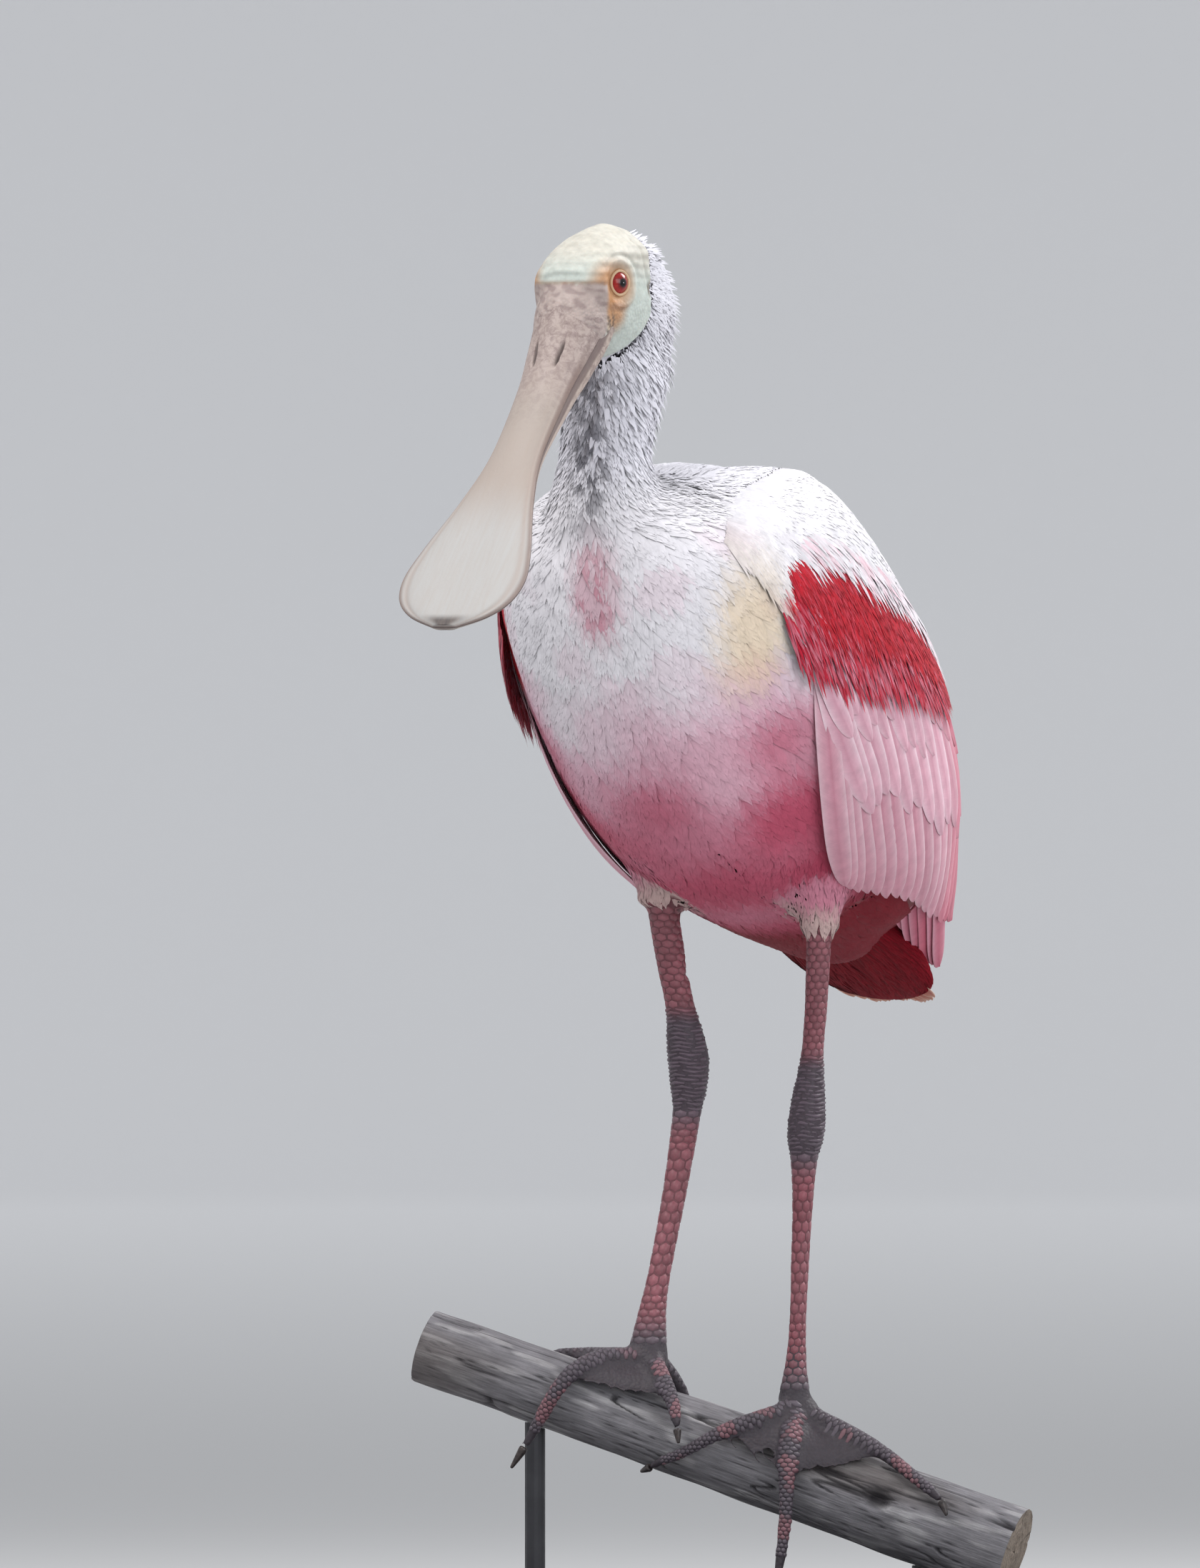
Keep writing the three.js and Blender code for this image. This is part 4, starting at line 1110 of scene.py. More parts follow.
def build_wing(tree, side, name, vane_material, tuft_material):
    build_arm(side, name, vane_material)
    for label, tier in TIERS.items():
        points, triangles, uvs, shading, share, edge = tier_vanes(side, tier)
        count = tier["count"]
        place = np.linspace(0, 1, count)[:, None, None]
        tone = random.uniform(0.92, 1.05, (count, 1, 1, 1))
        base = np.broadcast_to(tier["colour"], (count, *share.shape, 3))
        base = mix(base, tier["edge"], 0.85 * np.abs(edge)[None] ** 2.5 + 0 * place)
        base = mix(base, tier["tip"], 0.5 * smooth(0.6, 1, share)[None] + 0 * place)
        if not tier["stack"]:
            base = mix(base, srgb(244, 232, 237), 0.85 * smooth(0.8, 0.95, place) + 0 * share)
        stripe = smooth(0.46, 0.58, place) * smooth(0.8, 0.68, place) * smooth(0.3, 0.6, share)[None]
        base = mix(base, srgb(198, 84, 108), 0.65 * stripe)
        inside, outside = srgb(176, 96, 118), 0.55 * np.exp(-(edge / 0.12) ** 2)[None] * (1 - share[None])
        base = mix(base, inside, outside + 0 * place) * tone
        colours = both_faces(base)
        made = make_piece(f"{label}_{name}", points, triangles, vane_material, colours, uvs, shading)
    build_wing_tufts(tree, side, name, tuft_material)


def laid_on(tree, points, height, share):
    """Points moved towards a height over the skin, by their share."""
    middles, normals = nearest_on(tree, points)
    lowered = middles + normals * height[..., None]
    return points + (lowered - points) * share[..., None], normals


def wing_tufts(tree, side, t, angle, way, length, half, level, lift, colours):
    """Tufts on the wing's surface from roots (t, angle), each running the given way in (t, angle)."""
    count = len(t)
    step = 0.001
    here = wing_point(side, t, angle, level)
    moved = wing_point(side, t + way[:, 0] * step, angle + way[:, 1] * step, level)
    level = level[:, None]
    pace = np.linalg.norm(moved - here, axis=-1) / step
    share = np.linspace(0, 1, 4)
    run = (length / pace)[:, None] * share[None]
    line_t, line_angle = t[:, None] + way[:, :1] * run, angle[:, None] + way[:, 1:] * run
    height = level + lift[:, None] * share[None] ** 0.8 - 0.6 * (1 - share)[None]
    middles = wing_point(side, line_t, line_angle, height)
    ups = wing_normal(side, line_t, line_angle)
    near_front = smooth(0.27, 0.13, line_t)
    middles, skin_ups = laid_on(tree, middles, (height - level) * 0.4 + 1.1, near_front)
    ups = unit(ups + (skin_ups - ups) * near_front[..., None])
    widths = half[:, None] * np.array([0.7, 1.0, 0.85, 0])[None]
    points, triangles, barbs, shading = tuft_mesh(middles, ups, widths, widths * 0.4)
    size = len(points) // count
    hanging = np.repeat((side < 0) & (angle > 74), size)
    shading = np.where(hanging[:, None], normals_of(points, triangles), shading)
    # The rows near each tuft's root are darker: painted shade where the tufts overlap.
    shade = row_shades([0.85, 0.95, 1.0, 1.03], size, count)
    colours = np.repeat(colours, size, axis=0) * shade[:, None]
    place = np.stack([t, (angle + 20) / 200], axis=1)
    return points, triangles, colours, {"Barbs": barbs, "OFBake": patches(place, size)}, shading


def build_wing_tufts(tree, side, name, material):
    """The soft shoulder feathers, the red patch and the white streaks that hang over it."""
    full, quick = TUFTS["wing_share"]
    scale = full
    sets = []

    def add(label, low_angle, high_angle, colour_of):
        row = WING_TUFTS[label]
        count = int(row["count"] * scale)
        t = random.uniform(*row["t"], count)
        angle = low_angle(t) + (high_angle(t) - low_angle(t)) * random.random(count)
        way = np.array(row["way"]) * random.uniform(0.8, 1.2, (count, 2))
        way[:, 1] += random.normal(size=count) * 22 * row["way"][0]
        length = row["length"] * random.uniform(0.7, 1.25, count)
        half = row["half"] * random.uniform(0.85, 1.5, count)
        lift = row["lift"] * random.uniform(0.4, 1.0, count)
        level = np.full(count, float(row["level"]))
        colours = colour_of(t, angle)
        sets.append(wing_tufts(tree, side, t, angle, way, length, half, level, lift, colours))

    def top(t):
        return read_off(SHOULDER_TOP, t)

    def red_top(t):
        return read_off(RED_TOP, t)

    def red_low(t):
        return read_off(RED_LOW, t) + 12 * (side < 0)

    def front_line(t):
        return read_off(FRONT_LINE, t)

    def varied(colour, other, amount):
        def pick(t, _):
            share = random.random(len(t)) ** 2 * amount
            mixed = mix(np.broadcast_to(colour, (len(t), 3)), other, share)
            return mixed * random.uniform(0.9, 1.06, (len(t), 1))
        return pick

    def shoulder_colour(t, angle):
        ground = plumage(wing_point(side, t, angle, 0))
        inside = smooth(0.13, 0.19, t) * smooth(front_line(t) + 2, front_line(t) - 4, angle)
        return mix(ground, wing_colour(t, angle), inside) * random.uniform(0.93, 1.05, (len(t), 1))

    def red_strands(t, _):
        red = np.broadcast_to(RED, (len(t), 3))
        dark = mix(red, srgb(134, 0, 24), 0.6 * random.random(len(t)) ** 1.8)
        return mix(dark, srgb(226, 90, 112), 0.55 * random.random(len(t)) ** 4)

    red_edge = varied(srgb(190, 20, 50), srgb(224, 150, 170), 0.7)
    pale = varied(WHITE, srgb(240, 196, 208), 0.8)
    add("shoulder", lambda t: top(t) - 8, front_line, shoulder_colour)
    add("back_edge", lambda t: top(t) - 9, lambda t: top(t) + 8, shoulder_colour)
    add("white", top, lambda t: red_top(t) - 11, shoulder_colour)
    add("red", lambda t: red_top(t) - 5, lambda t: red_low(t) - 10, red_strands)
    add("red_edge", lambda t: red_low(t) - 12, lambda t: red_low(t) + 3, red_edge)
    add("streaks", lambda t: red_top(t) - 12, lambda t: red_top(t) - 4, pale)
    points = np.concatenate([part[0] for part in sets])
    offsets = np.cumsum([0] + [len(part[0]) for part in sets])
    triangles = np.concatenate([part[1] + start for part, start in zip(sets, offsets)])
    colours = np.concatenate([part[2] for part in sets])
    uvs = {label: np.concatenate([part[3][label] for part in sets]) for label in ("Barbs", "OFBake")}
    shading = np.concatenate([part[4] for part in sets])
    split_pieces(f"wing_coat_{name}", points, triangles, material, colours, uvs, shading, 10)


# Tail

def build_tail(vane_material, tuft_material):
    """The tail's long vanes, fanned a little and lower towards the sides."""
    count = 12
    root, tip = np.array(TAIL["root"], float), np.array(TAIL["tip"], float)
    run = np.array([0, *(tip - root)])
    normal = unit(np.array([0, -run[2], run[1]]))
    place = np.linspace(-1, 1, count)[:, None]
    outward = np.abs(place) * (count - 1) / 2
    s = (1 - (1 - np.linspace(0, 1, VANE_ROWS)) ** 1.35)[None]
    reach = (random.uniform(0.97, 1.0, (count, 1))) * (1 - 0.13 * place ** 2)
    x = place * (TAIL["spread"][0] + (TAIL["spread"][1] - TAIL["spread"][0]) * s)
    down = TAIL["drop"] * outward + 2 * np.sin(math.pi * s) * place ** 2
    middle = np.array([0, *root]) + run * (s * reach)[..., None] - normal * down[..., None]
    middle[..., 0] += x
    normals = np.broadcast_to(normal, middle.shape)
    across = np.zeros_like(middle)
    across[..., 0] = 1
    half = 6.4 * vane_width(s) * np.ones((count, 1))
    lean = 0.06 * np.sign(place) * np.ones_like(half)
    points, triangles, uvs, shading, share, edge = vane_set(middle, normals, across, half, lean)
    base = np.broadcast_to(srgb(178, 100, 84), (count, *share.shape, 3))
    base = mix(base, srgb(140, 20, 40), smooth(0.75, 0.35, share)[None] + 0 * base[..., 0])
    pale = 0.8 * smooth(0.9, 1.0, np.maximum(share, np.abs(edge)))[None]
    base = mix(base, srgb(226, 190, 172), pale + 0 * base[..., 0])
    made = make_piece("tail_vanes", points, triangles, vane_material, both_faces(base), uvs, shading,
                      replaces=["tail"])
    build_tail_coverts(tuft_material)


# Sections of the crimson feathers round the tail's root: y, z, half width and half height.
TAIL_COVERTS = np.array([
    [56, 330, 24, 15],
    [88, 314, 33, 14],
    [118, 298, 33, 10],
    [142, 286, 25, 6],
    [153, 281, 11, 2.5],
], float)


def build_tail_coverts(material):
    """The crimson feathers over and under the tail's root: a core and tufts along it."""
    line, wide = 24, 32
    angle = turns(wide)[None]

    def ring(t, angle, grow):
        y, z, half, deep = np.moveaxis(rows(TAIL_COVERTS, t), -1, 0)
        x, rise = np.cos(angle) * (half + grow), np.sin(angle) * (deep + grow)
        return np.stack([x, y + 0 * angle, z + rise], axis=-1)

    t = np.linspace(0, 1, line)[:, None]
    core = ring(t, angle, -1.8).reshape(-1, 3)
    # The core's crimson is darkened as painted shade under its tufts.
    made = make_piece("tail_core", core, sheet_triangles(line, wide, closed=True), material,
                      np.tile(CRIMSON * 0.8, (len(core), 1)), {"Barbs": core[:, :2] * 0.1})
    full, quick = TUFTS["tail"]
    count = full
    start = random.uniform(0, 0.8, count)
    turn = random.uniform(0, 2 * math.pi, count)
    share = np.linspace(0, 1, 4)[None]
    length = random.uniform(0.14, 0.26, (count, 1))
    lift = -1.6 + 1.5 * share * random.uniform(0.5, 1, (count, 1))
    drift = turn[:, None] + random.normal(size=(count, 1)) * 0.1 * share
    middles = ring(np.minimum(start[:, None] + length * share, 1), drift, lift)
    ups = unit(np.stack([np.cos(drift), 0 * drift + 0.1, np.sin(drift) * 1.6], axis=-1))
    widths = random.uniform(0.7, 1.2, (count, 1)) * np.array([[0.7, 1.0, 0.8, 0]])
    points, triangles, barbs, shading = tuft_mesh(middles, ups, widths, widths * 0.4)
    size = len(points) // count
    shade = smooth(0.65, 0.85, start) * (np.sin(turn) < 0.3)
    colour = mix(np.broadcast_to(CRIMSON, (count, 3)), srgb(160, 60, 60), 0.5 * shade)
    colour = colour * random.uniform(0.75, 1.2, (count, 1))
    uvs = {"Barbs": barbs, "OFBake": patches(np.stack([turn / 6.4, start], axis=1), size)}
    colours = np.repeat(colour, size, axis=0)
    split_pieces("tail_coat", points, triangles, material, colours, uvs, shading, size)


# Bill

# The nostrils: place along the bill and beside its middle, half length, half width and depth.
NOSTRIL = {"along": 26, "x": 5.9, "long": 6.8, "wide": 0.9, "deep": 1.6}

# What the shells add to the lower mandible near its base, by distance along it.
JAW = np.array([[-10, 4.5], [10, 5.5], [30, 5.5], [60, 3], [95, 0.4], [120, 0]])


def build_bill():
    """Both halves of the bill as closed shells, with the grooves, the ridge and the nostrils."""
    line, wide = 150, 72
    share = np.linspace(0, 1, line)[:, None]
    distance, half, upper, lower = np.moveaxis(rows(BILL, share[:, 0]), -1, 0)
    lower = lower + read_off(JAW, distance)
    angle = np.linspace(0, math.pi, wide)[None]
    x = np.cos(angle)
    for label, side, thick in (("upper", 1, upper), ("lower", -1, lower)):
        arch = np.sin(angle) ** (1 if side > 0 else 0.4 + 0.6 * smooth(50, 120, distance)[:, None])
        spoon = smooth(85, 115, distance)[:, None]
        dish = (0.22 * np.exp(-(x / 0.55) ** 2) - 0.08) * spoon
        groove = 0.55 * np.exp(-((np.abs(x) - 0.86) / 0.045) ** 2) * smooth(176, 168, distance)[:, None]
        ridge = 0.5 * np.exp(-(x / 0.22) ** 2) * smooth(60, 20, distance)[:, None]
        height = thick[:, None] * arch * (1 - dish) - (groove - ridge) * (0.35 + 0.65 * arch) * (side > 0)
        slit = 0 * height
        if side > 0:
            drop_x = np.abs(x * half[:, None]) - NOSTRIL["x"] + 0.11 * (distance[:, None] - NOSTRIL["along"])
            drop_y = distance[:, None] - NOSTRIL["along"]
            slit = smooth(1.15, 0.6, np.hypot(drop_x / NOSTRIL["wide"], drop_y / NOSTRIL["long"]))
            height = height - NOSTRIL["deep"] * slit
        rise = side * (BILL_GAP + height)
        points = GAPE + BILL_ALONG * distance[:, None, None] + BILL_OVER * rise[..., None]
        points[..., 0] = x * half[:, None]
        flat = points.reshape(-1, 3)
        triangles = sheet_triangles(line, wide, closed=True)
        tip = len(flat)
        last = np.arange(tip - wide, tip)
        flat = np.concatenate([flat, points[-1].mean(axis=0, keepdims=True)])
        cap = np.stack([last, np.roll(last, -1), np.full(wide, tip)], axis=1)
        triangles = np.concatenate([triangles, cap])
        colours = bill_markings_and_shade(label, distance[:, None], x, slit)
        colours = np.concatenate([colours.reshape(-1, 3), colours[-1].mean(axis=0, keepdims=True)])
        made = make_piece(f"bill_{label}_shell", flat, triangles, bill_material(label), colours,
                          replaces=[f"bill_{label}"])


def bill_markings_and_shade(label, distance, x, slit):
    """Marking colours over a half of the bill, x from -1 to 1 across it, with painted shade along the mouth
    line and in the nostrils.
    """
    shape = np.broadcast_shapes(distance.shape, x.shape)
    if label == "upper":
        colour = np.broadcast_to(BILL_BASE, (*shape, 3))
        colour = mix(colour, srgb(168, 156, 148), smooth(28, 60, distance) + 0 * x)
        colour = mix(colour, srgb(178, 176, 174), smooth(92, 130, distance) + 0 * x)
        # The upper half's lower rims are painted dark as shade along the mouth line.
        edge = smooth(0.9, 0.985, np.abs(x)) * smooth(12, 34, distance)
        colour = mix(colour, srgb(120, 96, 88), 0.75 * edge)
        groove = np.exp(-((np.abs(x) - 0.86) / 0.05) ** 2) * smooth(20, 90, distance)
        colour = mix(colour, srgb(166, 150, 142), 0.55 * groove)
        # The nostril slits are painted near black as the shade inside them.
        colour = mix(colour, srgb(34, 28, 30), 0.95 * slit)
    else:
        colour = np.broadcast_to(srgb(186, 170, 160), (*shape, 3))
        colour = mix(colour, srgb(180, 172, 166), smooth(90, 140, distance) + 0 * x)
        # A thin dark line at the lower half's rims is painted shade along the mouth line.
        colour = mix(colour, srgb(84, 68, 70), 0.85 * smooth(0.9975, 0.9995, np.abs(x)) + 0 * distance)
    notch = smooth(172, 176, distance) * smooth(0.9, 0.3, np.abs(x))
    return mix(colour, srgb(60, 48, 46), 0.9 * notch)


def bill_material(label):
    nodes = Nodes(f"bill_{label}", 0.55, Specular_IOR_Level=0.35)
    place = nodes.place()
    turned = {"Vector": place, "Angle": -BILL_PITCH}
    along = nodes.add("ShaderNodeVectorRotate", turned, rotation_type="X_AXIS").outputs["Vector"]
    base = nodes.add("ShaderNodeSeparateXYZ", {"Vector": along}).outputs["Y"]
    mottle = nodes.noise(place, 3.2, 8, 0.7, 0.6)
    fibre = nodes.noise(nodes.scaled(along, (1, 0.08, 1)), 1.6, 4)
    start = float((GAPE * MM) @ np.array([0, math.cos(BILL_PITCH), math.sin(BILL_PITCH)]))
    close = nodes.spread(base, start - 0.07, start - 0.005)
    strength = nodes.math("MULTIPLY", nodes.spread(mottle, 0.42, 0.6), nodes.math("MULTIPLY", close, 0.8))
    colour = nodes.blend(strength, nodes.attribute("marking"), srgb(112, 92, 92))
    streaks = nodes.math("MULTIPLY", nodes.spread(fibre, 0.35, 0.7), 0.22)
    colour = nodes.blend(streaks, colour, srgb(168, 152, 140))
    specks = nodes.spread(nodes.noise(place, 7, 3, 0.75), 0.73, 0.76)
    colour = nodes.blend(nodes.math("MULTIPLY", specks, 0.7), colour, srgb(96, 88, 88))
    nodes.colour(colour)
    rough = nodes.math("ADD", nodes.math("MULTIPLY", mottle, 0.6), nodes.math("MULTIPLY", fibre, 0.5))
    nodes.bump(rough, 0.35, 0.55)
    return nodes.material


# Eyes and lids

# Angles from the eye's axis, in radians, at the pupil's edge, the iris's edge and its dark rim.
IRIS = {"pupil": 0.25, "edge": 0.86, "rim": 0.95}


def build_eye(side, name):
    """An eyeball. Its marking holds the angle from the eye's axis in red and the rays in green."""
    centre, radius = eye_centre(side)
    radius -= 0.15
    line, wide = 48, 72
    look = eye_look(side)
    across = unit(np.cross(look, [0, 0, 1]))
    over = np.cross(across, look)
    away = np.linspace(0.0, math.pi, line)[:, None]
    turn = turns(wide)[None]
    bulge = radius * (1 + 0.035 * np.exp(-(away / 0.5) ** 2))
    out = np.sin(away) * bulge
    points = centre + look * (np.cos(away) * bulge + 0 * turn)[..., None]
    points = points + across * (out * np.cos(turn))[..., None] + over * (out * np.sin(turn))[..., None]
    rays = np.sin(turn * 23 + 3 * np.sin(turn * 7)) * 0.5 + 0.5
    colours = np.stack([away + 0 * turn, rays + 0 * away, 0 * away + 0 * turn], axis=-1)
    made = make_piece(f"eyeball_{name}", points.reshape(-1, 3), sheet_triangles(line, wide, closed=True),
                      eye_material(name), colours.reshape(-1, 3), replaces=[f"eye_{name}"])
    build_lids(name, centre, radius, look, across, over)


def eye_material(name):
    nodes = Nodes(f"eye_{name}", 0.2, Coat_Weight=0.3, Coat_Roughness=0.03, Specular_IOR_Level=0.3)
    parts = nodes.add("ShaderNodeSeparateColor", {"Color": nodes.attribute("marking")})
    away = nodes.math("DIVIDE", parts.outputs["Red"], math.pi)
    black, dark = srgb(10, 6, 8), srgb(84, 10, 10)
    stops = [(0.0, black), (IRIS["pupil"] / math.pi, black), (IRIS["pupil"] / math.pi + 0.012, dark),
             (0.17, srgb(158, 26, 18)), (IRIS["edge"] / math.pi, srgb(140, 20, 14)),
             (IRIS["rim"] / math.pi, srgb(48, 8, 8))]
    iris = nodes.ramp(away, stops)
    rays = nodes.noise(nodes.place(), 1.1, 4)
    both = nodes.math("MULTIPLY", nodes.spread(rays, 0.3, 0.7, 0.78, 1.2),
                      nodes.spread(parts.outputs["Green"], 0.0, 1.0, 0.88, 1.08))
    nodes.toned(iris, both)
    return nodes.material


def build_lids(name, centre, radius, look, across, over):
    """Two wrinkled rings of skin round the eye, the inner one pale and thin."""
    rings = [(0.86, 0.62, srgb(232, 206, 168)), (1.04, 0.8, srgb(206, 160, 116))]
    material = lid_material(name)
    line, wide = 96, 14
    turn, around = turns(line)[:, None], turns(wide)[None]
    all_points, all_triangles, all_colours = [], [], []
    for index, (away, thick, colour) in enumerate(rings):
        tall = 1.06 + 0.04 * index
        wave = 1 + 0.10 * np.sin(turn * 17 + 2 * np.sin(turn * 5)) * index
        out = (radius + 0.1) * math.sin(away) + thick * wave * np.cos(around)
        forward = (radius + 0.1) * math.cos(away) + thick * wave * np.sin(around) + 0.15 * (1 - index)
        pinch = 1 + 0.05 * np.cos(2 * turn) * (1 - index)
        place = centre + look * forward[..., None]
        place = place + across * (out * pinch * np.cos(turn))[..., None]
        place = place + over * (out * tall * np.sin(turn))[..., None]
        faces = sheet_triangles(line, wide, closed=True)
        last = (line - 1) * wide
        step = np.arange(wide)
        beside = (step + 1) % wide
        faces = np.concatenate([faces, np.stack([last + step, last + beside, beside], 1),
                                np.stack([last + step, beside, step], 1)])
        all_triangles.append(faces + sum(len(part) for part in all_points))
        all_points.append(place.reshape(-1, 3))
        # The rings' inner side, where they meet the eye and the skin, is painted dark as shade in the crease.
        crease_shade = smooth(-0.2, -0.9, np.sin(around) + 0 * turn)
        tint = mix(np.broadcast_to(colour, (line, wide, 3)), srgb(92, 62, 48), 0.8 * crease_shade)
        all_colours.append(tint.reshape(-1, 3))
    made = make_piece(f"lids_{name}", np.concatenate(all_points), np.concatenate(all_triangles), material,
                      np.concatenate(all_colours))


def lid_material(name):
    nodes = Nodes(f"lid_{name}", 0.5, Specular_IOR_Level=0.35)
    nodes.colour(nodes.blend(0.45, nodes.attribute("marking"), srgb(150, 108, 84)))
    nodes.bump(nodes.noise(nodes.place(), 0.7, 4), 0.2, 0.6)
    return nodes.material


# Scutes on the legs and feet

# The legs' middle lines, as (z, x, y).
LEG_AXES = {
    "left": np.array([[104, 33, -5], [133, 33, -2], [160, 32, 2], [211, 31.6, 7], [255, 34, 10],
                      [316, 37, 11]]),
    "right": np.array([[124, -32, -19], [140, -32, -16], [192, -31, 3], [232, -30, 14.5], [277, -32, 11],
                       [328, -36, 0]]),
}

# Rows of plates round each leg: from and to (z), the step between rows, plates in a row, unevenness.
LEG_ROWS = {
    "left": [(109, 138, 3.0, 7, 0.3), (138, 196, 4.3, 6, 0.1), (196, 212, 2.8, 6, 0.2),
             (212, 255, 1.75, 4, 1.0), (255, 311, 2.9, 8, 0.25)],
    "right": [(129, 150, 3.0, 7, 0.3), (150, 214, 4.3, 6, 0.1), (214, 231, 2.8, 6, 0.2),
              (231, 276, 1.75, 4, 1.0), (276, 323, 2.9, 8, 0.25)],
}

# Toes: distance along the perch, angle from its top to its front in degrees, height over its bark.
TOES = {
    "left": [
        [[29, 8, 8], [32, 42, 6], [36, 76, 5], [40.5, 104, 7], [44.5, 127, 14], [47.5, 139, 24]],
        [[36, 6, 8], [56, 15, 7], [73, 25, 5.4], [89, 42, 4.6], [101, 53, 4]],
        [[25, 14, 8], [16, 38, 6.4], [5, 62, 4.8], [-4, 86, 4], [-11, 104, 3.6], [-19, 122, 3.6]],
        [[32, -14, 7.5], [37, -42, 5.4], [41, -70, 4.4], [44, -92, 4]],
    ],
    "right": [
        [[-46, 8, 8.5], [-60, 24, 6.5], [-69, 54, 5.2], [-73, 86, 4.8], [-76, 116, 4.6], [-78, 136, 8]],
        [[-50, -8, 8], [-64, -24, 6], [-78, -40, 4.8], [-90, -58, 4.4], [-97, -78, 4]],
        [[-38, 14, 9], [-29, 36, 7], [-22, 55, 6.4], [-17.5, 70, 7.4]],
        [[-38, -14, 8.5], [-30, -40, 6], [-24, -68, 4.6], [-20, -90, 4]],
    ],
}

# The corners of a six-sided plate, as shares of its width and height. A plate has a middle point and
# two rings of corners.
HEX = np.array([[0, 0.67], [0.5, 0.33], [0.5, -0.33], [0, -0.67], [-0.5, -0.33], [-0.5, 0.33]])
PLATE_SIZE = 13


def plate_faces(count):
    """Triangles of closed plates, with the under side drawn over their outer corners."""
    faces = []
    for step in range(6):
        ahead = (step + 1) % 6
        faces += [[0, 1 + ahead, 1 + step], [1 + step, 7 + ahead, 7 + step], [1 + step, 1 + ahead, 7 + ahead]]
        if step > 1:
            faces.append([7, 7 + step, 6 + step])
    return (np.array(faces)[None] + (np.arange(count) * PLATE_SIZE)[:, None, None]).reshape(-1, 3)


def cast(tree, starts, ways, reach=16.0):
    """Where rays from inside the flesh leave the skin, and the skin's normals there."""
    hits = [tree.ray_cast(start, way, reach) for start, way in zip(starts.tolist(), ways.tolist())]
    found = np.array([hit[0] is not None for hit in hits])
    places = np.array([hit[0] if hit[0] is not None else start for hit, start in zip(hits, starts.tolist())])
    normals = np.array([hit[1] if hit[0] is not None else way for hit, way in zip(hits, ways.tolist())])
    return places, normals, found


def leg_plates(tree, name):
    """Plates in staggered rows round one leg, thinner and wider over the ankle."""
    axis = LEG_AXES[name]
    layouts = []
    for low, high, step, columns, uneven in LEG_ROWS[name]:
        count = int((high - low) / step)
        pace = (high - low) / count
        for line in range(count):
            shift = random.uniform(0, 6.28) if uneven > 0.9 else math.pi / columns * (line % 2)
            for column in range(columns):
                turn = 2 * math.pi * column / columns + shift + random.uniform(-0.08, 0.08) * uneven * 2
                level = low + pace * (line + 0.5 + random.uniform(-0.12, 0.12) * uneven)
                layouts.append((level, turn, pace, 2 * math.pi / columns, uneven))
    level, turn, pace, wide, uneven = (column[:, None] for column in np.array(layouts).T)
    wrinkled = uneven > 0.9
    corners = np.where(wrinkled[..., None], HEX * [1, 0.72], HEX)
    shares = np.array([0.0] + [0.82] * 6 + [0.96] * 6)[None]
    across = np.concatenate([0 * corners[:, :1, 0], corners[..., 0], corners[..., 0]], axis=1)
    upward = np.concatenate([0 * corners[:, :1, 1], corners[..., 1], corners[..., 1]], axis=1)
    wavy = 0.5 * np.sin(3 * (turn + across * wide)) * wrinkled
    z = level + upward * shares * pace + wavy
    angle = turn + across * shares * wide
    x, y = np.interp(z, axis[:, 0], axis[:, 1]), np.interp(z, axis[:, 0], axis[:, 2])
    starts = np.stack([x, y, z], axis=-1).reshape(-1, 3)
    ways = np.stack([np.cos(angle), np.sin(angle), 0 * angle], axis=-1).reshape(-1, 3)
    places, normals, found = cast(tree, starts, ways)
    dome = np.array([0.36] + [0.24] * 6 + [-0.3] * 6)
    heights = np.tile(dome, len(layouts)) * np.repeat(np.where(wrinkled[:, 0], 1.6, 0.9), PLATE_SIZE)
    verts = places + normals * heights[:, None]
    whole = found.reshape(-1, PLATE_SIZE).all(axis=1)
    return verts.reshape(-1, PLATE_SIZE, 3)[whole], normals.reshape(-1, PLATE_SIZE, 3)[whole, 0]


def toe_plates(tree, rows_of_toe):
    """Staggered plates over the top of one toe, three in each row."""
    run, front, up = perch_axes()
    path = rows(np.array(rows_of_toe, float), np.linspace(0, 1, 200))
    turn = np.radians(path[:, 1])
    out = up * np.cos(turn)[:, None] + front * np.sin(turn)[:, None]
    far = perch_radius(path[:, 0]) + path[:, 2]
    line = np.array(PERCH["middle"]) + run * path[:, :1] + out * far[:, None]
    length = np.concatenate([[0], np.cumsum(np.linalg.norm(np.diff(line, axis=0), axis=1))])
    stops = np.arange(1.0, length[-1], 1.85)
    centre = np.stack([np.interp(stops, length, line[:, axis]) for axis in range(3)], axis=1)
    normal = unit(np.stack([np.interp(stops, length, out[:, axis]) for axis in range(3)], axis=1))
    ahead = unit(np.gradient(centre, axis=0))
    normal = unit(normal - (normal * ahead).sum(axis=1, keepdims=True) * ahead)
    side = np.cross(ahead, normal)
    layouts = []
    for middle in (-1.0, 0.0, 1.0):
        at = np.array([middle, 0])
        layouts.append(np.concatenate([[at], at + HEX * 0.82, at + HEX * 0.97]))
    layout = np.array(layouts)[None]
    stagger = 0.5 * (np.arange(len(stops)) % 2)[:, None, None]
    angle = (layout[..., 0] + stagger - 0.25) * 1.15
    move = layout[..., 1] * 1.9
    starts = centre[:, None, None] + ahead[:, None, None] * move[..., None]
    ways = normal[:, None, None] * np.cos(angle)[..., None]
    ways = ways + side[:, None, None] * np.sin(angle)[..., None]
    starts = np.broadcast_to(starts, ways.shape)
    places, normals, found = cast(tree, starts.reshape(-1, 3), ways.reshape(-1, 3), 8.0)
    heights = np.tile(np.array([0.42] + [0.34] * 6 + [-0.3] * 6), len(stops) * 3)
    verts = places + normals * heights[:, None]
    whole = found.reshape(-1, PLATE_SIZE).all(axis=1)
    return verts.reshape(-1, PLATE_SIZE, 3)[whole], normals.reshape(-1, PLATE_SIZE, 3)[whole, 0]


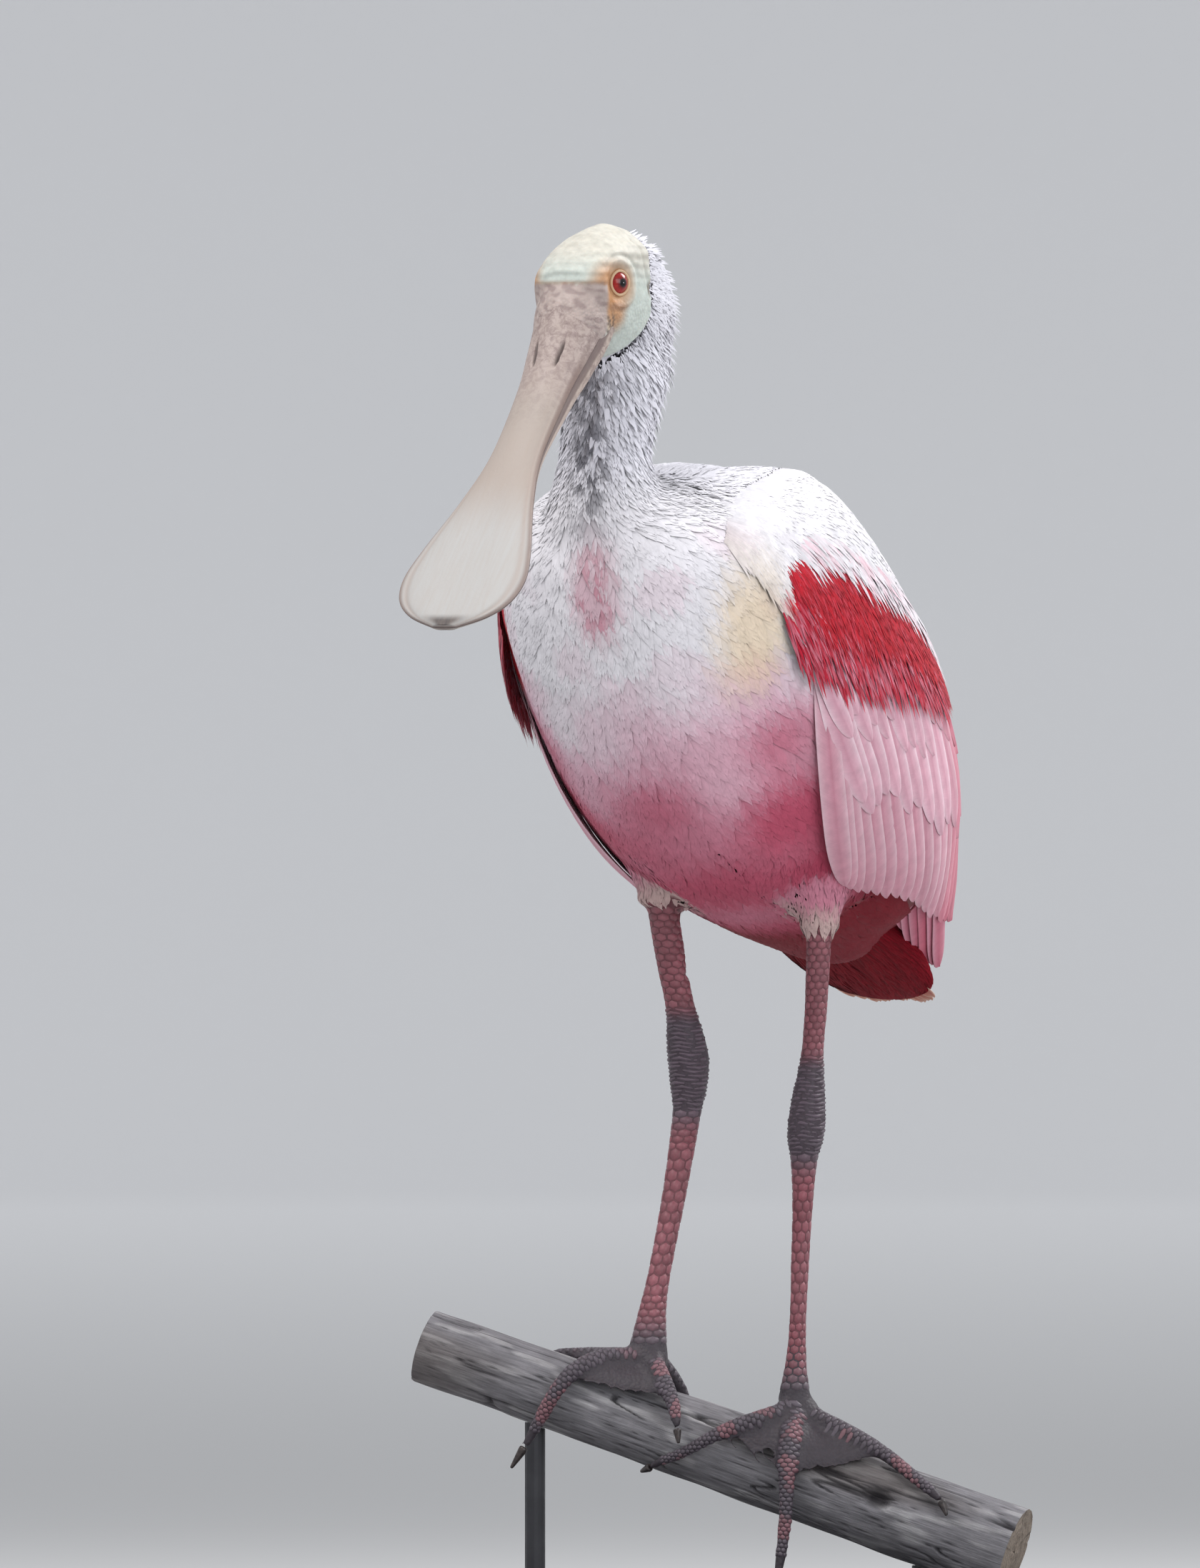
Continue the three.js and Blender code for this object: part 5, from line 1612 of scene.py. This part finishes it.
def build_scutes(points, triangles):
    """Horny plates over the legs and the toes, domed and set close together."""
    chosen = points[triangles][..., 2].max(axis=1) < SCUTES_TO
    tree = BVHTree.FromPolygons(points.tolist(), triangles[chosen].tolist())
    sets = [leg_plates(tree, name) for name in SIDES]
    sets += [toe_plates(tree, toe) for name in SIDES for toe in TOES[name]]
    verts = np.concatenate([part[0] for part in sets])
    normals = np.concatenate([part[1] for part in sets])
    keep = is_bare(verts[:, 0]) > 0.6
    verts, normals = verts[keep], normals[keep]
    count = len(verts)
    colour, _ = skin_markings_and_shade(verts[:, 0])
    colour = colour * random.uniform(0.85, 1.15, (count, 1))
    edge = np.tile([1.06] + [1.0] * 6 + [0.5] * 6, count)[:, None]
    tint = np.repeat(colour, PLATE_SIZE, axis=0) * edge
    bake = patches(skin_unwrap(verts[:, 0], normals), PLATE_SIZE)
    nodes = Nodes("scutes", 0.48, Specular_IOR_Level=0.4)
    place = nodes.place()
    mottle = nodes.spread(nodes.noise(place, 2.2, 5), 0.3, 0.7, 0.82, 1.12)
    nodes.toned(nodes.attribute("marking"), mottle)
    nodes.bump(nodes.noise(place, 0.6, 4), 0.12, 0.6)
    made = make_piece("scutes", verts.reshape(-1, 3), plate_faces(count), nodes.material, tint,
                      {"OFBake": bake})


# Claws

def build_claws():
    """Each claw node, rounded off."""
    nodes = Nodes("claw_horn", 0.38, Specular_IOR_Level=0.5)
    place = nodes.place()
    tone = nodes.spread(nodes.noise(place, 1.5, 5), 0.35, 0.7)
    nodes.colour(nodes.blend(tone, srgb(24, 20, 22), srgb(66, 56, 54)))
    nodes.bump(nodes.noise(nodes.scaled(place, (1, 1, 0.3)), 0.8, 3), 0.15, 0.5)
    for name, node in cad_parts.items():
        if not name.startswith("claw_"):
            continue
        work = bmesh.new()
        work.from_mesh(node.data)
        bmesh.ops.remove_doubles(work, verts=work.verts, dist=0.01 * MM)
        mesh = bpy.data.meshes.new(name + "_plain")
        work.to_mesh(mesh)
        work.free()
        shaped = modified(mesh, "SUBSURF", levels=2)
        made = make_piece(name + "_horn", points_of(shaped), triangles_of(shaped), nodes.material,
                          replaces=[name])


# Branch and stand

# The knot in the branch: place along it, angle round it, and half length and half width.
KNOT = {"along": 78, "angle": 1.35, "long": 9, "wide": 6}
BARK_RADIUS = 19
END_RINGS = 16


def perch_axes():
    """The branch's directions: along it, to its front and to its top."""
    run = unit(np.array([math.cos(PERCH["turn"]), math.sin(PERCH["turn"]), PERCH["slope"]]))
    front = np.array([math.sin(PERCH["turn"]), -math.cos(PERCH["turn"]), 0])
    return run, front, np.cross(front, run)


def perch_radius(along):
    small, large = PERCH["radius"]
    return small + (large - small) * np.clip(0.5 + along / PERCH["stretch"], 0, 1)


def bark(along, angle):
    """The depth of the bark's cracks, grain and knot under the branch's radius, and its colours."""
    around = [np.cos(angle) * BARK_RADIUS + 0 * along, np.sin(angle) * BARK_RADIUS + 0 * along]
    flat = np.stack([*around, along * 0.12 + 0 * angle], axis=-1)
    wavy = waves(flat, 15, 21) + 0.5 * waves(flat, 7, 22)
    crack = smooth(0.16, 0.0, np.abs(wavy)) * smooth(-0.5, 0.4, waves(flat * [1, 1, 3], 22, 23))
    ridges = waves(flat, 5.5, 24)
    fine = smooth(0.13, 0.0, np.abs(waves(flat * [1, 1, 0.6], 6, 31)))
    fine = fine * smooth(-0.6, 0.2, waves(flat * [1, 1, 2], 12, 32))
    off_along = (along - KNOT["along"]) / KNOT["long"] + 0 * angle
    off_round = np.sin((angle - KNOT["angle"]) / 2) * 2 * BARK_RADIUS / KNOT["wide"] + 0 * along
    knot = np.linalg.norm(np.stack([off_along, off_round], axis=-1), axis=-1)
    hollow = smooth(1.0, 0.3, knot)
    depth = 0.6 + 1.7 * crack + 0.5 * fine + 0.35 * (0.5 - 0.5 * ridges) + 3.2 * hollow
    depth = depth - 0.5 * smooth(1.6, 1.1, knot) * (1 - hollow)
    colour = np.broadcast_to(srgb(126, 124, 128), (*depth.shape, 3))
    colour = mix(colour, srgb(164, 162, 164), 0.8 * smooth(0.2, 0.9, ridges))
    colour = mix(colour, srgb(92, 84, 80), 0.6 * smooth(0.1, 0.8, waves(flat, 40, 25)))
    # The cracks, the fine grain lines and the knot's hollow are painted dark as the shade in them.
    colour = mix(colour, srgb(44, 41, 44), 0.92 * np.maximum(np.maximum(crack, 0.85 * fine), hollow))
    return depth, colour


def branch_end(edge, angle, outward, run, offset):
    """A sawn end inside the branch's edge: points and colours, a little hollowed, ringed and split."""
    middle = edge.mean(axis=0)
    share = np.linspace(1, 0.02, END_RINGS)[:, None]
    inside = middle + (edge[None] - middle) * share[..., None]
    lumps = np.stack([share * 30 + 0 * angle, 9 * np.cos(angle) + 0 * share, 9 * np.sin(angle) + 0 * share],
                     axis=-1)
    sunk = (outward * (0.4 + 0.25 * waves(lumps, 9, 26)) * smooth(1.0, 0.9, share))[..., None]
    split = smooth(0.12, 0.0, np.abs(np.sin(angle * 2.5 + offset))) * smooth(0.1, 0.9, share)
    grain = 0.5 + 0.5 * np.sin(share * 60 + 2 * np.sin(angle * 2))
    wood = np.broadcast_to(srgb(150, 138, 126), (*grain.shape, 3))
    tint = mix(wood, srgb(108, 96, 88), 0.6 * grain)
    return inside - run * sunk, mix(tint, srgb(48, 42, 40), 0.8 * split)


def bark_material():
    nodes = Nodes("weathered_bark", 0.88, Specular_IOR_Level=0.2)
    place = nodes.place()
    tilted = place
    for angle, axis in ((-PERCH["turn"], "Z_AXIS"), (-math.atan(-PERCH["slope"]), "Y_AXIS")):
        turned = nodes.add("ShaderNodeVectorRotate", {"Vector": tilted, "Angle": angle}, rotation_type=axis)
        tilted = turned.outputs["Vector"]
    fibre = nodes.noise(nodes.scaled(tilted, (0.06, 1, 1)), 1.1, 8, 0.7)
    patch = nodes.spread(nodes.noise(place, 16, 6, 0.65), 0.3, 0.7, 0.82, 1.14)
    shade = nodes.math("MULTIPLY", nodes.spread(fibre, 0.3, 0.7, 0.62, 1.28), patch)
    nodes.toned(nodes.attribute("marking"), shade)
    nodes.bump(fibre, 0.9, 0.8)
    return nodes.material


def build_branch():
    """The cut branch: cracked bark with a knot, and two sawn ends."""
    line, wide = 220, 180
    run, front, up = perch_axes()
    along = np.linspace(*PERCH["ends"], line)[:, None]
    angle = turns(wide)[None]
    depth, colour = bark(along, angle)
    size = perch_radius(along) - depth
    points = np.array(PERCH["middle"]) + run * along[..., None] + up * (size * np.cos(angle))[..., None]
    points = points + front * (size * np.sin(angle))[..., None]
    verts, tints = [points.reshape(-1, 3)], [colour.reshape(-1, 3)]
    faces = [sheet_triangles(line, wide, closed=True)]
    for row_index, outward in ((0, -1), (line - 1, 1)):
        inside, tint = branch_end(points[row_index], angle, outward, run, 0.5 * row_index)
        offset = sum(len(part) for part in verts)
        faces.append(sheet_triangles(END_RINGS, wide, closed=True, flip=outward < 0) + offset)
        verts.append(inside.reshape(-1, 3))
        tints.append(tint.reshape(-1, 3))
    made = make_piece("branch", np.concatenate(verts), np.concatenate(faces), bark_material(),
                      np.concatenate(tints), replaces=["perch_branch"])


def dress_stand():
    """Dark metal on the base and the rods."""
    nodes = Nodes("stand_metal", 0.42, Metallic=0.7)
    place = nodes.place()
    tone = nodes.spread(nodes.noise(place, 30, 5), 0.3, 0.7)
    nodes.colour(nodes.blend(tone, srgb(58, 58, 61), srgb(74, 74, 78)))
    rough = nodes.spread(nodes.noise(place, 3, 5), 0.3, 0.7, 0.36, 0.52)
    nodes.set(nodes.shader.inputs["Roughness"], rough)
    nodes.bump(nodes.noise(place, 0.5, 2), 0.08, 0.4)
    for name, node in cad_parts.items():
        if name.startswith("stand_"):
            node.data.materials.clear()
            node.data.materials.append(nodes.material)


# Stage

# The studio's round floor in metres: where its wall starts, the bend between them, and its height.
FLOOR = {"flat": 22.0, "bend": 2.0, "top": 4.5, "around": 96, "rings": (0.5, 2.0, 6.0)}


def build_stage():
    """A round studio floor that bends up into a wall."""
    curve = [(far, 0.0) for far in FLOOR["rings"]]
    for angle in np.linspace(0, math.pi / 2, 13):
        far = FLOOR["flat"] + FLOOR["bend"] * math.sin(angle)
        curve.append((far, FLOOR["bend"] * (1 - math.cos(angle))))
    curve.append((FLOOR["flat"] + FLOOR["bend"], FLOOR["top"]))
    turn = turns(FLOOR["around"])
    rings = [np.stack([far * np.cos(turn), far * np.sin(turn), up + 0 * turn], axis=1) for far, up in curve]
    verts = np.concatenate(rings + [np.zeros((1, 3))])
    first = np.arange(FLOOR["around"])
    hub = np.stack([np.roll(first, -1), first, 0 * first + len(verts) - 1], axis=1)
    faces = np.concatenate([sheet_triangles(len(curve), FLOOR["around"], closed=True), hub])
    floor = bpy.data.meshes.new("floor")
    floor.from_pydata(verts.tolist(), [], faces.tolist())
    floor.shade_smooth()
    nodes = Nodes("studio_floor", 0.8)
    away = nodes.add("ShaderNodeVectorMath", {"Vector": nodes.place()}, operation="LENGTH").outputs["Value"]
    inner, outer = np.array([0.46, 0.46, 0.465]), np.array([0.8, 0.8, 0.81])
    nodes.colour(nodes.blend(nodes.spread(away, 3.0, 20.0), inner, outer))
    floor.materials.append(nodes.material)
    backdrop = put("floor", floor)


def area_light(name, place, target, power, size, colour=(1, 1, 1)):
    light = bpy.data.lights.new(name, "AREA")
    light.energy = power
    light.size = size
    light.color = colour
    holder = put(name, light)
    holder.location = place
    holder.rotation_euler = (Vector(target) - Vector(place)).to_track_quat("-Z", "Y").to_euler()


def build_camera_and_lights():
    target = Vector(CAMERA["target"]) * MM
    turn = CAMERA["azimuth"]
    back = Vector((math.sin(turn), -math.cos(turn), 0))
    camera = put("camera", bpy.data.cameras.new("camera"))
    camera.location = target + back * (CAMERA["distance"] * MM)
    camera.rotation_euler = (math.pi / 2, 0, turn)
    camera.data.sensor_fit = "VERTICAL"
    camera.data.sensor_height = 36
    camera.data.lens = CAMERA["lens"]
    camera.data.clip_end = 120
    bpy.context.scene.camera = camera
    area_light("key", (-0.5, -1.1, 2.5), (0, 0, 0.42), 35, 1.2, (1, 0.98, 0.96))
    area_light("fill", (2.3, -1.2, 1.2), (0, 0, 0.38), 24, 1.6, (0.96, 0.98, 1))
    area_light("rim", (0.9, 1.5, 1.9), (0, 0, 0.45), 30, 0.9)
    world = bpy.data.worlds.new("studio")
    world.use_nodes = True
    background = world.node_tree.nodes["Background"]
    background.inputs["Color"].default_value = (0.9, 0.92, 0.95, 1)
    background.inputs["Strength"].default_value = 0.8
    bpy.context.scene.world = world
    bpy.context.scene.view_settings.view_transform = "Standard"


skin_points, skin_triangles = build_skin()
skin_tree = BVHTree.FromPolygons(skin_points.tolist(), skin_triangles.tolist())
build_coat(skin_tree, skin_points, skin_triangles)
build_scutes(skin_points, skin_triangles)
vanes_finish = feather_material("flight_feathers", 0.7, 0.12)
tufts_finish = feather_material("wing_tufts", 1.0, 0.2)
for side_name, side_sign in SIDES.items():
    build_wing(skin_tree, side_sign, side_name, vanes_finish, tufts_finish)
    build_eye(side_sign, side_name)
build_tail(vanes_finish, feather_material("tail_tufts", sheen=0.02))
build_bill()
build_claws()
build_branch()
dress_stand()
build_stage()
build_camera_and_lights()
